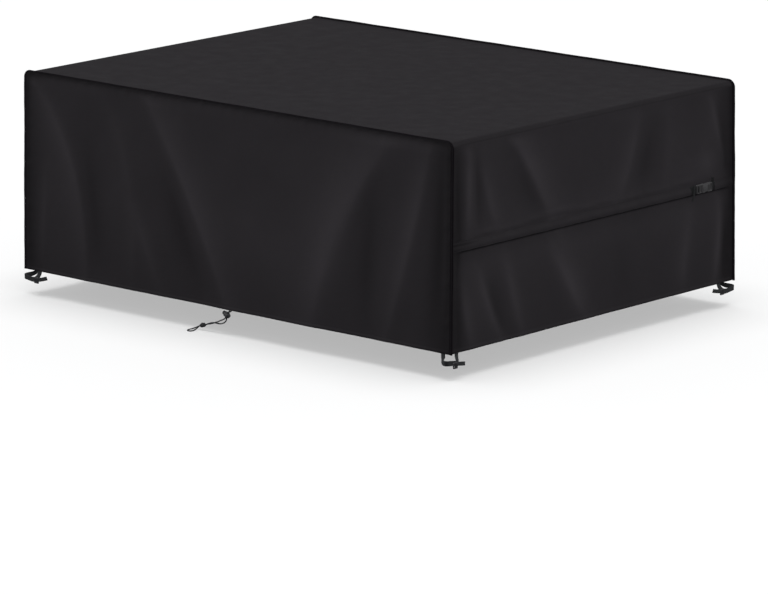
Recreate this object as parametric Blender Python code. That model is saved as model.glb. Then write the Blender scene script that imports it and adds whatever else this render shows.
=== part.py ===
"""A fitted patio furniture cover: a boxy rain cover for a table and chairs.

Frame: metres, +Z up.  The long sides run along X and the short ends along Y.  The origin is the middle
of the underside of the top, where the furniture holds the cover up.  The drawcord is on the -Y side and
the belt is on the +X end.
"""

import math

import bmesh
import bpy
from mathutils import Matrix, Vector

# Cover
LENGTH = 1.98            # outside of the cloth, along X, at the top
WIDTH = 1.50             # outside, along Y, at the top
DROP = 0.71              # from the underside of the top to the hem
CLOTH = 0.002
SIDE_FLARE = 0.010       # how far each long side leans out at the hem
END_FLARE = 0.004
FOLD_RADIUS = 0.018      # the soft fold between the top and the short ends
FOLD_STEPS = 6
HEM_HEIGHT = 0.020
HEM_THICK = 0.0045       # the turned hem and its drawcord channel
HEM_STEP = 0.0025
GAP = 0.0003             # between pieces that touch

# Bound seam round each long side: the seam stands out from the edges, wrapped in folded tape
BINDING_STAND = 0.0115   # how far it stands out at the corners
BINDING_LAID = 0.60      # share of that along the top, where it lies over
BINDING_OUTSIDE = 0.0015  # its face, out from the long side's
BINDING_INSIDE = 0.0033  # its back, in from the long side's face
BINDING_ROUND = 0.0016

# Belt on the +X end
BELT_DROP = 0.350        # of the belt's middle line
BELT_WIDTH = 0.025
BELT_THICK = 0.0018
CASING_WIDTH = 0.034     # the sewn channel that the belt runs in
CASING_THICK = 0.0036
CASING_EASE = 0.0012     # how much its long edges are eased
CASING_SHORT = 0.0020    # it stops this short of the seams
BELT_PROUD = 0.004       # how far the cloth leans out to the belt
BELT_RECESS = 0.006      # how far it lies back just below
BELT_FADE = 0.085        # both run out over this length at each corner
BUCKLE_Y = 0.579
BUCKLE_BAY = 0.066       # half the length of the break in the casing
BUCKLE_HEIGHT = 0.032
BUCKLE_THICK = 0.010
BUCKLE_HALF = 0.041      # half its length
BUCKLE_SPLIT = -0.015    # where the tongue's frame ends and the socket starts
BUCKLE_SPLIT_GAP = 0.0003
TONGUE_THINNER = 0.0015  # the tongue's frame is thinner than the socket by this on each face
TONGUE_SLOTS = ((-0.037, -0.030), (-0.026, -0.019))
TONGUE_RIM = 0.005
SOCKET_SLOT = (0.030, 0.037)
SOCKET_RIM = 0.004
NOTCH = (0.000, 0.014)   # where the prongs show in the socket's long edges
NOTCH_DEPTH = 0.0035
NOTCH_WALL = 0.0025
BELT_TO_TONGUE = 0.022   # from the buckle's middle to the end of the belt, and of its anchor
BELT_TO_SOCKET = 0.028
CUTTER = 0.010           # how far a cutter reaches past what it cuts

# The belt's free end and its folded end.  out: from the belt's face; along: from the buckle's middle.
BELT_TAIL_WIDTH = 0.014
BELT_TAIL_THICK = 0.0014
BELT_TAIL_ROUTE = (
    # out, along, drop
    (0.0030, -0.051, 0.336),
    (0.0040, -0.053, 0.352),
    (0.0050, -0.057, 0.370),
    (0.0040, -0.062, 0.388),
)
FOLDED_END_WIDTH = 0.010
FOLDED_END_THICK = 0.0028
FOLDED_END_ROUTE = (
    (0.0060, 0.0445, 0.366),
    (0.0062, 0.0445, 0.345),
    (0.0070, 0.0465, 0.318),
)

# Corner straps
STRAP_WIDTH = 0.018
STRAP_THICK = 0.0016
STRAP_TAIL_WIDTH = 0.014
STRAP_TAIL_THICK = 0.0022
STRAP_BUCKLE_LOW = (-0.0110, -0.0172, -0.011)  # two corners of the small buckle, from its own place
STRAP_BUCKLE_HIGH = (0.0110, -0.0112, 0.011)
STRAP_SLOT_LOW = (-0.0070, -0.0340, -0.007)
STRAP_SLOT_HIGH = (-0.0030, -0.0040, 0.007)
STRAP_TAIL_START = -0.004  # below the buckle's place

# Drawcord and its lock
CORD_RADIUS = 0.002
CORD_APART = 0.0023      # half the distance between the strands in the lock and the knot
CORD_SPACING = 0.0095
LOCK_CENTRE = Vector((-0.0165, -0.7600, -0.7287))
LOCK_AXIS = Vector((-0.90, 0.0, 0.436)).normalized()
LOCK_RADIUS = 0.0095
PLUNGER_RADIUS = 0.0065
PLUNGER_CLEARANCE = 0.0004
PLUNGER_TRAVEL = 0.004
PLUNGER_FOOT = -0.0047   # the lower end of the plunger, and of its bore in the barrel
BORE_FOOT = -0.0092
BARREL_HOLE = (0.0052, 0.0030)  # half width and half height of the holes that the strands run through
BUTTON_HOLE = (0.0048, 0.0024)
HOLE_BEVEL = 0.0012
LOCK_RUN = (-0.0105, -0.0040, 0.0040, 0.0105)  # the strands' straight run through the lock
BARREL_OUTSIDE = (
    # radius, height
    (0.0, -0.0112), (0.0050, -0.0112), (0.0078, -0.0098), (0.0092, -0.0062), (LOCK_RADIUS, -0.0015),
    (LOCK_RADIUS, 0.0040), (0.0089, 0.0078), (0.0080, 0.0095),
)
BUTTON_OUTSIDE = (
    # radius, height
    (0.0, PLUNGER_FOOT), (PLUNGER_RADIUS, PLUNGER_FOOT), (PLUNGER_RADIUS, 0.0142), (0.0068, 0.0148),
    (0.0068, 0.0168), (0.0058, 0.0180), (0.0, 0.0180),
)
KNOT_CENTRE = Vector((-0.1290, -0.7620, -0.7815))
KNOT_AXIS = Vector((-0.95, 0.0, -0.31)).normalized()
KNOT_LENGTH = 0.022
KNOT_RADIUS = 0.0078
KNOT_FACE_RADIUS = 0.0055
KNOT_BULGE = 0.75        # the share of its length that bulges
KNOT_GAP = 0.0009        # where the strands meet the knot
KNOT_LEAD = 0.007        # how far the strands run straight from it

# Grid of the cloth pieces: distances from an edge, then even steps
SIDE_COLUMNS = 32
END_COLUMNS = 23
SIDE_DROPS = (0.055, 0.105, 0.160, 0.215, 0.270, 0.325, 0.380, 0.435, 0.490, 0.545, 0.600, 0.650)
END_DROPS = (0.055, 0.105, 0.160, 0.215, 0.265, 0.305, 0.333, 0.367, 0.382, 0.410, 0.455, 0.505, 0.555, 0.605,
             0.650)
TOP_STEPS = 4
CREASE_STEPS = 6

# Creases of the -Y long side.  along: metres from the -X corner; drop: metres below the top.
# reach: half width; height: + stands out, - lies in.
FRONT_CREASES = (
    # start (along, drop), bend (along, drop), end (along, drop), reach, height
    ((0.05, 0.04), (0.22, 0.30), (0.30, 0.69), 0.045, 0.0060),
    ((0.43, 0.03), (0.52, 0.35), (0.50, 0.52), 0.040, 0.0028),
    ((0.56, 0.46), (0.60, 0.60), (0.64, 0.70), 0.040, 0.0040),
    ((0.60, 0.04), (0.74, 0.32), (0.96, 0.70), 0.050, 0.0085),
    ((1.74, 0.03), (1.50, 0.32), (1.33, 0.68), 0.095, 0.0090),
    ((1.90, 0.04), (1.84, 0.33), (1.70, 0.70), 0.050, 0.0058),
    ((0.14, 0.25), (0.17, 0.45), (0.19, 0.68), 0.045, -0.0050),
    ((0.66, 0.10), (0.84, 0.42), (1.06, 0.66), 0.060, -0.0050),
    ((1.62, 0.20), (1.64, 0.42), (1.56, 0.66), 0.060, -0.0048),
)

# Creases of the +X end.  along: metres from the -Y corner.
BELT_END_CREASES = (
    ((0.075, 0.04), (0.072, 0.18), (0.072, 0.32), 0.030, 0.0055),
    ((0.128, 0.06), (0.130, 0.18), (0.125, 0.31), 0.030, -0.0055),
    ((0.150, 0.08), (0.190, 0.20), (0.240, 0.31), 0.032, 0.0042),
    ((0.36, 0.04), (0.42, 0.15), (0.52, 0.33), 0.042, 0.0052),
    ((0.96, 0.09), (0.93, 0.20), (0.90, 0.30), 0.050, 0.0040),
    ((1.40, 0.10), (1.42, 0.20), (1.44, 0.32), 0.035, 0.0046),
    ((0.06, 0.47), (0.08, 0.58), (0.10, 0.70), 0.030, 0.0045),
    ((0.14, 0.46), (0.19, 0.58), (0.25, 0.69), 0.035, -0.0050),
    ((0.30, 0.45), (0.34, 0.56), (0.37, 0.69), 0.036, 0.0046),
    ((0.56, 0.46), (0.62, 0.58), (0.69, 0.68), 0.045, 0.0052),
    ((1.36, 0.44), (1.39, 0.56), (1.41, 0.69), 0.035, 0.0055),
)

# The hidden long side and end, finished plainly with a few soft folds.
BACK_CREASES = (
    ((0.30, 0.05), (0.38, 0.35), (0.42, 0.69), 0.060, 0.0055),
    ((0.92, 0.20), (0.96, 0.45), (1.02, 0.70), 0.070, 0.0060),
    ((1.62, 0.05), (1.56, 0.35), (1.48, 0.69), 0.065, 0.0055),
)
PLAIN_END_CREASES = (
    ((0.16, 0.05), (0.20, 0.35), (0.26, 0.69), 0.050, 0.0050),
    ((0.78, 0.25), (0.76, 0.48), (0.72, 0.70), 0.065, 0.0055),
    ((1.36, 0.05), (1.31, 0.35), (1.25, 0.69), 0.055, 0.0050),
)

# A corner strap's middle line.  along: from the corner on the side its tail follows; across: on the other
# side, both measured inwards from the hem's inner faces; below: metres below the hem.
STRAP_ROUTE = (
    # along, across, below
    (0.0036, 0.0500, -0.034),
    (0.0036, 0.0500, -0.006),
    (0.0026, 0.0480, 0.008),
    (-0.0020, 0.0425, 0.018),
    (-0.0100, 0.0340, 0.024),
    (-0.0165, 0.0230, 0.0265),
    (-0.0195, 0.0110, 0.0275),
    (-0.0180, 0.0010, 0.0280),
    (-0.0130, -0.0050, 0.0282),
    (-0.0050, -0.0080, 0.0285),
    (0.0080, -0.0088, 0.0295),
    (0.0220, -0.0090, 0.0310),
    (0.0360, -0.0090, 0.0320),
    (0.0480, -0.0086, 0.0310),
    (0.0590, -0.0060, 0.0255),
    (0.0665, 0.0012, 0.0120),
    (0.0700, 0.0036, -0.006),
    (0.0700, 0.0036, -0.034),
)
STRAP_TAIL_ROUTE = (
    # along from the buckle's place, across, share of the tail's fall
    (0.0130, -0.0138, 0.0),
    (0.0260, -0.0142, 0.35),
    (0.0420, -0.0138, 0.78),
    (0.0510, -0.0120, 1.0),
)
CORNERS = (
    # name, side x, side y, tail along X, share of the strap's reach along and across, its buckle's place along
    # and below, tail's end below the buckle's place
    ("near", 1, -1, False, 0.55, 0.60, 0.015, 0.0380, 0.0010),
    ("left", -1, -1, True, 0.82, 1.00, 0.054, 0.0325, -0.0155),
    ("right", 1, 1, False, 0.96, 1.00, 0.064, 0.0300, -0.0110),
    ("rear", -1, 1, True, 0.90, 1.00, 0.058, 0.0300, -0.0110),
)

# Drawcord, from the hem to the lock and from the lock to the knot: each strand, then the end loop.
STRAND_A_ABOVE = ((0.0020, -0.7590, -0.7128), (-0.0030, -0.7606, -0.7160))
STRAND_B_ABOVE = ((-0.0065, -0.7577, -0.7124), (-0.0085, -0.7577, -0.7160))
STRAND_A_BELOW = (
    (-0.0300, -0.7625, -0.7455),
    (-0.0450, -0.7628, -0.7525),
    (-0.0600, -0.7630, -0.7592),
    (-0.0760, -0.7632, -0.7655),
    (-0.0900, -0.7640, -0.7703),
    (-0.1040, -0.7645, -0.7733),
)
STRAND_B_BELOW = (
    (-0.0235, -0.7572, -0.7500),
    (-0.0330, -0.7570, -0.7590),
    (-0.0470, -0.7570, -0.7648),
    (-0.0620, -0.7572, -0.7664),
    (-0.0770, -0.7578, -0.7660),
    (-0.0920, -0.7588, -0.7682),
    (-0.1050, -0.7595, -0.7728),
)
END_LOOP = (
    (-0.1530, -0.7625, -0.7905),
    (-0.1640, -0.7700, -0.7960),
    (-0.1690, -0.7830, -0.7978),
    (-0.1680, -0.7960, -0.7980),
    (-0.1600, -0.8060, -0.7980),
    (-0.1500, -0.8055, -0.7980),
    (-0.1465, -0.7950, -0.7980),
    (-0.1480, -0.7820, -0.7970),
    (-0.1480, -0.7700, -0.7925),
)


# ---------------------------------------------------------------- materials and mesh helpers

def make_material(name, colour, roughness, metallic=0.0):
    material = bpy.data.materials.new(name)
    material.use_nodes = True
    shader = material.node_tree.nodes["Principled BSDF"]
    shader.inputs["Base Color"].default_value = (*colour, 1.0)
    shader.inputs["Roughness"].default_value = roughness
    shader.inputs["Metallic"].default_value = metallic
    material.diffuse_color = (*colour, 1.0)
    return material


def add_object(name, bm, material, smooth_angle=35.0):
    """Make an object of a bmesh, with faces that point out."""
    bmesh.ops.recalc_face_normals(bm, faces=bm.faces)
    mesh = bpy.data.meshes.new(name)
    bm.to_mesh(mesh)
    bm.free()
    mesh.materials.append(material)
    mesh.shade_smooth()
    mesh.set_sharp_from_angle(angle=math.radians(smooth_angle))
    obj = bpy.data.objects.new(name, mesh)
    bpy.context.collection.objects.link(obj)
    return obj


def closed_sheet(name, outer, inner, material):
    """Join two grids of points, [row][column], into one closed sheet."""
    rows = len(outer)
    columns = len(outer[0])
    bm = bmesh.new()
    front = [[bm.verts.new(p) for p in row] for row in outer]
    back = [[bm.verts.new(p) for p in row] for row in inner]
    for i in range(rows - 1):
        for j in range(columns - 1):
            bm.faces.new((front[i][j], front[i][j + 1], front[i + 1][j + 1], front[i + 1][j]))
            bm.faces.new((back[i][j], back[i + 1][j], back[i + 1][j + 1], back[i][j + 1]))
    rim = [(0, j) for j in range(columns)]
    rim += [(i, columns - 1) for i in range(1, rows)]
    rim += [(rows - 1, j) for j in range(columns - 2, -1, -1)]
    rim += [(i, 0) for i in range(rows - 2, 0, -1)]
    for (i, j), (k, m) in zip(rim, rim[1:] + rim[:1]):
        bm.faces.new((front[k][m], front[i][j], back[i][j], back[k][m]))
    return add_object(name, bm, material)


def swept(name, sections, material):
    """Join equal rings of points, one after another, into a solid with flat ends."""
    bm = bmesh.new()
    rings = [[bm.verts.new(p) for p in section] for section in sections]
    count = len(rings[0])
    for ring, following in zip(rings, rings[1:]):
        for k in range(count):
            m = (k + 1) % count
            bm.faces.new((ring[k], ring[m], following[m], following[k]))
    bm.faces.new(list(reversed(rings[0])))
    bm.faces.new(rings[-1])
    return add_object(name, bm, material)


def box(name, low, high, material, bevel=0.0):
    """A box between two corners, with its edges rounded."""
    bm = bmesh.new()
    bmesh.ops.create_cube(bm, size=1.0)
    size = Vector(high) - Vector(low)
    middle = (Vector(high) + Vector(low)) / 2
    bmesh.ops.transform(bm, matrix=Matrix.Translation(middle) @ Matrix.Diagonal((*size, 1.0)), verts=bm.verts)
    if bevel:
        bmesh.ops.bevel(bm, geom=list(bm.edges), offset=bevel, segments=2, profile=0.5, affect="EDGES")
    return add_object(name, bm, material)


def cut(target, cutter):
    """Cut a solid with another, which is only a tool."""
    cutter.hide_render = True
    cutter.display_type = "WIRE"
    modifier = target.modifiers.new("cut_" + cutter.name, "BOOLEAN")
    modifier.operation = "DIFFERENCE"
    modifier.object = cutter


def place(objects, matrix):
    for obj in objects:
        obj.matrix_world = matrix


def turned(name, profile, material, steps=24):
    """Spin a profile of (radius, height) pairs about Z into a closed solid."""
    bm = bmesh.new()
    points = [bm.verts.new((radius, 0.0, height)) for radius, height in profile]
    edges = [bm.edges.new(pair) for pair in zip(points, points[1:])]
    bmesh.ops.spin(bm, geom=points + edges, axis=(0, 0, 1), cent=(0, 0, 0), steps=steps,
                   angle=math.tau, use_merge=True)
    bmesh.ops.remove_doubles(bm, verts=bm.verts, dist=1e-6)
    return add_object(name, bm, material)


def smooth_step(value, low, high):
    t = min(max((value - low) / (high - low), 0.0), 1.0)
    return t * t * (3.0 - 2.0 * t)


# ---------------------------------------------------------------- the draped shape

def crease_line(start, bend, end):
    """Points along the curve through a crease's start, bend and end."""
    start, bend, end = Vector(start), Vector(bend), Vector(end)
    points = []
    for k in range(CREASE_STEPS + 1):
        t = k / CREASE_STEPS
        points.append(start * (1 - t) * (1 - 2 * t) + bend * 4 * t * (1 - t) + end * t * (2 * t - 1))
    return points


def distance_to_line(point, line):
    """The distance to a line of straight runs, and how far along it the nearest point lies, 0 to 1."""
    best = (math.inf, 0.0)
    for k, (a, b) in enumerate(zip(line, line[1:])):
        run = b - a
        t = min(max((point - a).dot(run) / run.length_squared, 0.0), 1.0)
        best = min(best, ((a + run * t - point).length, (k + t) / (len(line) - 1)))
    return best


def crease_height(along, drop, creases):
    """How far the cloth stands out of its plane: each crease is a soft ridge or trough."""
    height = 0.0
    for start, bend, end, reach, rise in creases:
        distance, where = distance_to_line(Vector((along, drop)), crease_line(start, bend, end))
        swell = 0.55 + 0.45 * math.sin(math.pi * where)
        height += rise * swell * math.exp(-((distance / reach) ** 2))
    return height


def belt_set(along, drop):
    """The +X end leans out to its belt and lies back just below it."""
    fade = smooth_step(min(along, WIDTH - along), 0.012, BELT_FADE)
    below = drop - BELT_DROP - CASING_WIDTH / 2
    above = BELT_DROP - CASING_WIDTH / 2 - drop
    if below > 0.0:
        settle = smooth_step(below, 0.0, 0.014)
        set_out = BELT_PROUD * (1.0 - settle) - BELT_RECESS * settle * math.exp(-((below / 0.075) ** 2))
    else:
        set_out = BELT_PROUD * math.exp(-((max(above, 0.0) / 0.060) ** 2))
    return fade * set_out


def side_relief(along, drop, creases):
    """Relief of a long side: none at its seam."""
    edge = min(along, LENGTH - along)
    fade = smooth_step(edge, 0.004, 0.055) * smooth_step(drop, 0.004, 0.060)
    return fade * crease_height(along, drop, creases)


def end_relief(along, drop, creases, belted):
    """Relief of a short end: none at its seams and level under the belt."""
    if belted and abs(drop - BELT_DROP) <= CASING_WIDTH / 2 + 1e-6:
        drop = BELT_DROP
    fade = smooth_step(min(along, WIDTH - along), 0.004, 0.050) * smooth_step(drop, 0.020, 0.070)
    relief = fade * crease_height(along, drop, creases)
    if belted:
        relief = relief * smooth_step(abs(drop - BELT_DROP), 0.0, 0.08) + belt_set(along, drop)
    return relief


def lean(drop, flare):
    return flare * max(drop, 0.0) / DROP


def cloth_thickness(drop):
    """The hem is the cloth turned up inside."""
    return HEM_THICK if drop > DROP - HEM_HEIGHT - 1e-6 else CLOTH


def fold_arc():
    """The fold at the +X edge of the top as (x, z, normal x, normal z), from the top down."""
    arc = []
    for k in range(FOLD_STEPS + 1):
        angle = math.radians(90.0 - 90.0 * k / FOLD_STEPS)
        arc.append((
            LENGTH / 2 - FOLD_RADIUS + FOLD_RADIUS * math.cos(angle),
            CLOTH - FOLD_RADIUS + FOLD_RADIUS * math.sin(angle),
            math.cos(angle),
            math.sin(angle),
        ))
    return arc


def hem_drops(drops):
    return tuple(drops) + (DROP - HEM_HEIGHT - HEM_STEP, DROP - HEM_HEIGHT, DROP)


def edge_columns(half, first, count):
    """Even columns between two narrow ones at the edges, as fractions of the half width."""
    inner = 1.0 - first / half
    return [-1.0] + [-inner + 2.0 * inner * k / count for k in range(count + 1)] + [1.0]


def end_columns():
    return edge_columns(WIDTH / 2, 0.020, END_COLUMNS)


def end_half_width(drop):
    """Half the width of a short end: it stops at the inner faces of the long sides."""
    return WIDTH / 2 + lean(drop, SIDE_FLARE) - cloth_thickness(drop) - GAP


def end_point(fraction, drop, creases, belted):
    """A point of an end's outer face: its distance out along X, and its y."""
    y = fraction * end_half_width(drop)
    relief = end_relief(y + WIDTH / 2, drop, creases, belted)
    return LENGTH / 2 + lean(drop, END_FLARE) + relief, y


def end_rows(side, creases, belted):
    """The rows of a short end, from the hem up to the fold."""
    rows = []
    for drop in reversed(hem_drops(END_DROPS)):
        thick = cloth_thickness(drop)
        outer, inner = [], []
        for fraction in end_columns():
            x, y = end_point(fraction, drop, creases, belted)
            outer.append(Vector((side * x, y, -drop)))
            inner.append(Vector((side * (x - thick), y, -drop)))
        rows.append((outer, inner))
    return rows


def fold_rows(side):
    """The rows of a soft fold, from the end up to the top."""
    rows = []
    for x, z, nx, nz in reversed(fold_arc()):
        half = end_half_width(-z)
        outer = [Vector((side * x, f * half, z)) for f in end_columns()]
        inner = [Vector((side * (x - nx * CLOTH), f * half, z - nz * CLOTH)) for f in end_columns()]
        rows.append((outer, inner))
    return rows


def top_rows():
    """The rows of the flat top between its two folds."""
    rows = []
    half_length = LENGTH / 2 - FOLD_RADIUS
    for k in range(1, TOP_STEPS):
        x = -half_length + 2.0 * half_length * k / TOP_STEPS
        outer = [Vector((x, f * end_half_width(0.0), CLOTH)) for f in end_columns()]
        inner = [Vector((x, f * end_half_width(0.0), 0.0)) for f in end_columns()]
        rows.append((outer, inner))
    return rows


def build_top_and_ends(material):
    """The top and both short ends are one length of cloth."""
    rows = end_rows(-1, PLAIN_END_CREASES, False) + fold_rows(-1) + top_rows()
    rows += list(reversed(end_rows(1, BELT_END_CREASES, True) + fold_rows(1)))
    closed_sheet("top_and_ends", [row[0] for row in rows], [row[1] for row in rows], material)


def build_long_side(name, side, creases, material):
    """A long side: its outline is the arch of the top and ends, which it closes."""
    columns = edge_columns(LENGTH / 2, 0.020, SIDE_COLUMNS)
    outline = [(x, -z) for x, z, _, _ in fold_arc()]
    outline += [(LENGTH / 2 + lean(drop, END_FLARE), drop) for drop in hem_drops(SIDE_DROPS)]
    outer, inner = [], []
    for half, drop in outline:
        thick = cloth_thickness(drop)
        plane = WIDTH / 2 + lean(drop, SIDE_FLARE)
        heights = [side_relief(f * half + LENGTH / 2, drop, creases) for f in columns]
        for grid, back in ((outer, 0.0), (inner, thick)):
            face = plane - back
            grid.append([Vector((f * half, side * (face + h), -drop)) for f, h in zip(columns, heights)])
    closed_sheet(name, outer, inner, material)


def binding_section():
    """The folded tape: (out from the outline, out from the side's face) pairs, its outer edge rounded."""
    section = [(GAP, -BINDING_INSIDE)]
    out = BINDING_STAND - BINDING_ROUND
    for start, over in ((-90, -BINDING_INSIDE + BINDING_ROUND), (0, BINDING_OUTSIDE - BINDING_ROUND)):
        for angle in map(math.radians, (start, start + 45, start + 90)):
            section.append((out + BINDING_ROUND * math.cos(angle), over + BINDING_ROUND * math.sin(angle)))
    section.append((GAP, BINDING_OUTSIDE))
    return section


def build_binding(name, side, material):
    """One bound seam up a corner, along the top edge and down the next corner."""
    path = [(LENGTH / 2 + END_FLARE, -DROP, 1.0, 0.0)] + list(reversed(fold_arc()))
    path += [(-x, z, -nx, nz) for x, z, nx, nz in reversed(path)]
    sections = []
    for x, z, nx, nz in path:
        face = WIDTH / 2 + lean(-z, SIDE_FLARE)
        share = 1.0 - (1.0 - BINDING_LAID) * nz
        sections.append([
            Vector((x + nx * out * share, side * (face + over), z + nz * out * share))
            for out, over in binding_section()
        ])
    swept(name, sections, material)


# ---------------------------------------------------------------- belt

def belt_face(y):
    """The outer face of the +X end under the belt, where its facets lie."""
    columns = [end_point(f, BELT_DROP, BELT_END_CREASES, True) for f in end_columns()]
    for (x0, y0), (x1, y1) in zip(columns, columns[1:]):
        if y0 <= y <= y1:
            return x0 + (x1 - x0) * (y - y0) / (y1 - y0)
    raise ValueError("y is off the end")


def belt_top(y):
    """The outer face of the belt's webbing."""
    return belt_face(y) + 2 * GAP + BELT_THICK


def build_belt(name, y_from, y_to, width, thick, round_off, material):
    """A band that lies on the end between two places, its long edges eased."""
    columns = [end_point(f, BELT_DROP, BELT_END_CREASES, True)[1] for f in end_columns()]
    places = [y_from] + [y for y in columns if y_from + 1e-4 < y < y_to - 1e-4] + [y_to]
    half = width / 2
    rest = GAP + END_FLARE * CASING_WIDTH / 2 / DROP
    edge = [(0.0, -half), (thick - round_off, -half), (thick, -half + round_off * 2)]
    ring = edge + [(out, -up) for out, up in reversed(edge)]
    sections = []
    for y in places:
        x = belt_face(y) + rest
        sections.append([Vector((x + out, y, -BELT_DROP + up)) for out, up in ring])
    swept(name, sections, material)


def build_buckle(material):
    """A side-release buckle: the tongue's frame, and the socket that its prongs sit in."""
    height = BUCKLE_HEIGHT / 2
    thick = BUCKLE_THICK
    frame = box("belt_buckle_tongue", (TONGUE_THINNER, -BUCKLE_HALF, -height),
                (thick - TONGUE_THINNER, BUCKLE_SPLIT, height), material, TONGUE_THINNER * 0.8)
    rim = height - TONGUE_RIM
    for number, (low, high) in enumerate(TONGUE_SLOTS):
        slot = box("tongue_slot_%d" % number, (-CUTTER, low, -rim), (thick + CUTTER, high, rim), material)
        cut(frame, slot)
    socket = box("belt_buckle_socket", (0.0, BUCKLE_SPLIT + BUCKLE_SPLIT_GAP, -height),
                 (thick, BUCKLE_HALF, height), material, thick / 5)
    rim = height - SOCKET_RIM
    low, high = SOCKET_SLOT
    cut(socket, box("socket_slot", (-CUTTER, low, -rim), (thick + CUTTER, high, rim), material))
    for number, z in enumerate((-height, height)):
        cut(socket, box("socket_notch_%d" % number, (NOTCH_WALL, NOTCH[0], z - NOTCH_DEPTH),
                        (thick - NOTCH_WALL, NOTCH[1], z + NOTCH_DEPTH), material))
    rise = belt_face(BUCKLE_Y + BUCKLE_HALF) - belt_face(BUCKLE_Y - BUCKLE_HALF)
    slope = math.atan2(rise, 2 * BUCKLE_HALF)
    seat = Matrix.Translation((belt_top(BUCKLE_Y) + 3 * GAP, BUCKLE_Y, -BELT_DROP))
    pieces = [obj for obj in bpy.data.objects if obj.name.startswith(("belt_buckle", "tongue_", "socket_"))]
    place(pieces, seat @ Matrix.Rotation(-slope, 4, "Z"))


def ribbon(name, route, faces, width, thick, material, frame=None):
    """Webbing along a route: faces are the directions its flat side looks at each point."""
    points = [Vector(p) for p in route]
    sections = []
    for k, (point, face) in enumerate(zip(points, faces)):
        before = points[max(k - 1, 0)]
        after = points[min(k + 1, len(points) - 1)]
        run = (after - before).normalized()
        face = (face - run * face.dot(run)).normalized()
        across = run.cross(face) * width / 2
        out = face * thick / 2
        ring = [point - across - out, point + across - out, point + across + out, point - across + out]
        sections.append([frame @ p for p in ring] if frame else ring)
    return swept(name, sections, material)


def build_belt_tails(material):
    """The belt's free end, hanging at the buckle, and the folded end that stands up beside it."""
    for name, route, facing, width, thick in (
        ("belt_tail", BELT_TAIL_ROUTE, Vector((1, 0.25, 0)), BELT_TAIL_WIDTH, BELT_TAIL_THICK),
        ("belt_folded_end", FOLDED_END_ROUTE, Vector((0.25, 1, 0)), FOLDED_END_WIDTH, FOLDED_END_THICK),
    ):
        face = belt_top(BUCKLE_Y + route[0][1])
        points = [(face + out, BUCKLE_Y + along, -drop) for out, along, drop in route]
        ribbon(name, points, [facing] * len(points), width, thick, material)


# ---------------------------------------------------------------- corner straps

def corner_frame(side_x, side_y, along_x):
    """A corner's own frame: along its tail's side, along the other side, and down."""
    half_length = LENGTH / 2 + END_FLARE - HEM_THICK
    half_width = WIDTH / 2 + SIDE_FLARE - HEM_THICK
    corner = Vector((side_x * half_length, side_y * half_width, -DROP))
    inward_x = Vector((-side_x, 0, 0))
    inward_y = Vector((0, -side_y, 0))
    along, across = (inward_x, inward_y) if along_x else (inward_y, inward_x)
    matrix = Matrix((along, across, Vector((0, 0, -1)))).transposed().to_4x4()
    return Matrix.Translation(corner) @ matrix


def build_corner_strap(corner, side_x, side_y, along_x, reach_along, reach_across, buckle_along, buckle_below, tail_end,
                       webbing, plastic):
    """A strap that hangs from the hem round a leg at one corner, its small buckle and its free tail."""
    frame = corner_frame(side_x, side_y, along_x)
    count = len(STRAP_ROUTE)
    turns = [math.radians(90.0 * smooth_step(k / (count - 1), 0.15, 0.85)) for k in range(count)]
    faces = [Vector((-math.cos(turn), -math.sin(turn), 0.0)) for turn in turns]
    route = [(along * reach_along if along > 0 else along, across * reach_across if across > 0 else across, below)
             for along, across, below in STRAP_ROUTE]
    ribbon(corner + "_strap", route, faces, STRAP_WIDTH, STRAP_THICK, webbing, frame)
    at_buckle = frame @ Matrix.Translation((buckle_along, 0.0, buckle_below))
    tail_route = [(along, across, STRAP_TAIL_START + (tail_end - STRAP_TAIL_START) * share)
                  for along, across, share in STRAP_TAIL_ROUTE]
    tail_faces = [Vector((0, -1, 0))] * len(tail_route)
    ribbon(corner + "_strap_tail", tail_route, tail_faces, STRAP_TAIL_WIDTH, STRAP_TAIL_THICK, webbing, at_buckle)
    name = corner + "_strap_buckle"
    buckle = box(name, STRAP_BUCKLE_LOW, STRAP_BUCKLE_HIGH, plastic, HOLE_BEVEL)
    slot = box(name + "_slot", STRAP_SLOT_LOW, STRAP_SLOT_HIGH, plastic)
    cut(buckle, slot)
    for obj in (buckle, slot):
        obj.data.transform(at_buckle)
        obj.data.update()
        if at_buckle.determinant() < 0:
            obj.data.flip_normals()


# ---------------------------------------------------------------- drawcord

def smooth_route(points, spacing):
    """Even points on a smooth curve through the route's own points."""
    points = [Vector(p) for p in points]
    padded = [2 * points[0] - points[1]] + points + [2 * points[-1] - points[-2]]
    fine = []
    for a, b, c, d in zip(padded, padded[1:], padded[2:], padded[3:]):
        for k in range(16):
            t = k / 16
            fine.append(0.5 * (2 * b + (c - a) * t + (2 * a - 5 * b + 4 * c - d) * t ** 2
                               + (3 * b - a - 3 * c + d) * t ** 3))
    fine.append(points[-1])
    lengths = [0.0]
    for a, b in zip(fine, fine[1:]):
        lengths.append(lengths[-1] + (b - a).length)
    count = max(round(lengths[-1] / spacing), 2)
    even = []
    k = 0
    for number in range(count + 1):
        wanted = lengths[-1] * number / count
        while k < len(fine) - 2 and lengths[k + 1] < wanted:
            k += 1
        share = (wanted - lengths[k]) / max(lengths[k + 1] - lengths[k], 1e-12)
        even.append(fine[k].lerp(fine[k + 1], share))
    return even


def tube(name, points, material):
    curve = bpy.data.curves.new(name, "CURVE")
    curve.dimensions = "3D"
    curve.bevel_depth = CORD_RADIUS
    curve.bevel_resolution = 3
    curve.use_fill_caps = True
    spline = curve.splines.new("POLY")
    spline.points.add(len(points) - 1)
    for target, point in zip(spline.points, points):
        target.co = (*point, 1.0)
    curve.materials.append(material)
    obj = bpy.data.objects.new(name, curve)
    bpy.context.collection.objects.link(obj)
    return obj


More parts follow.
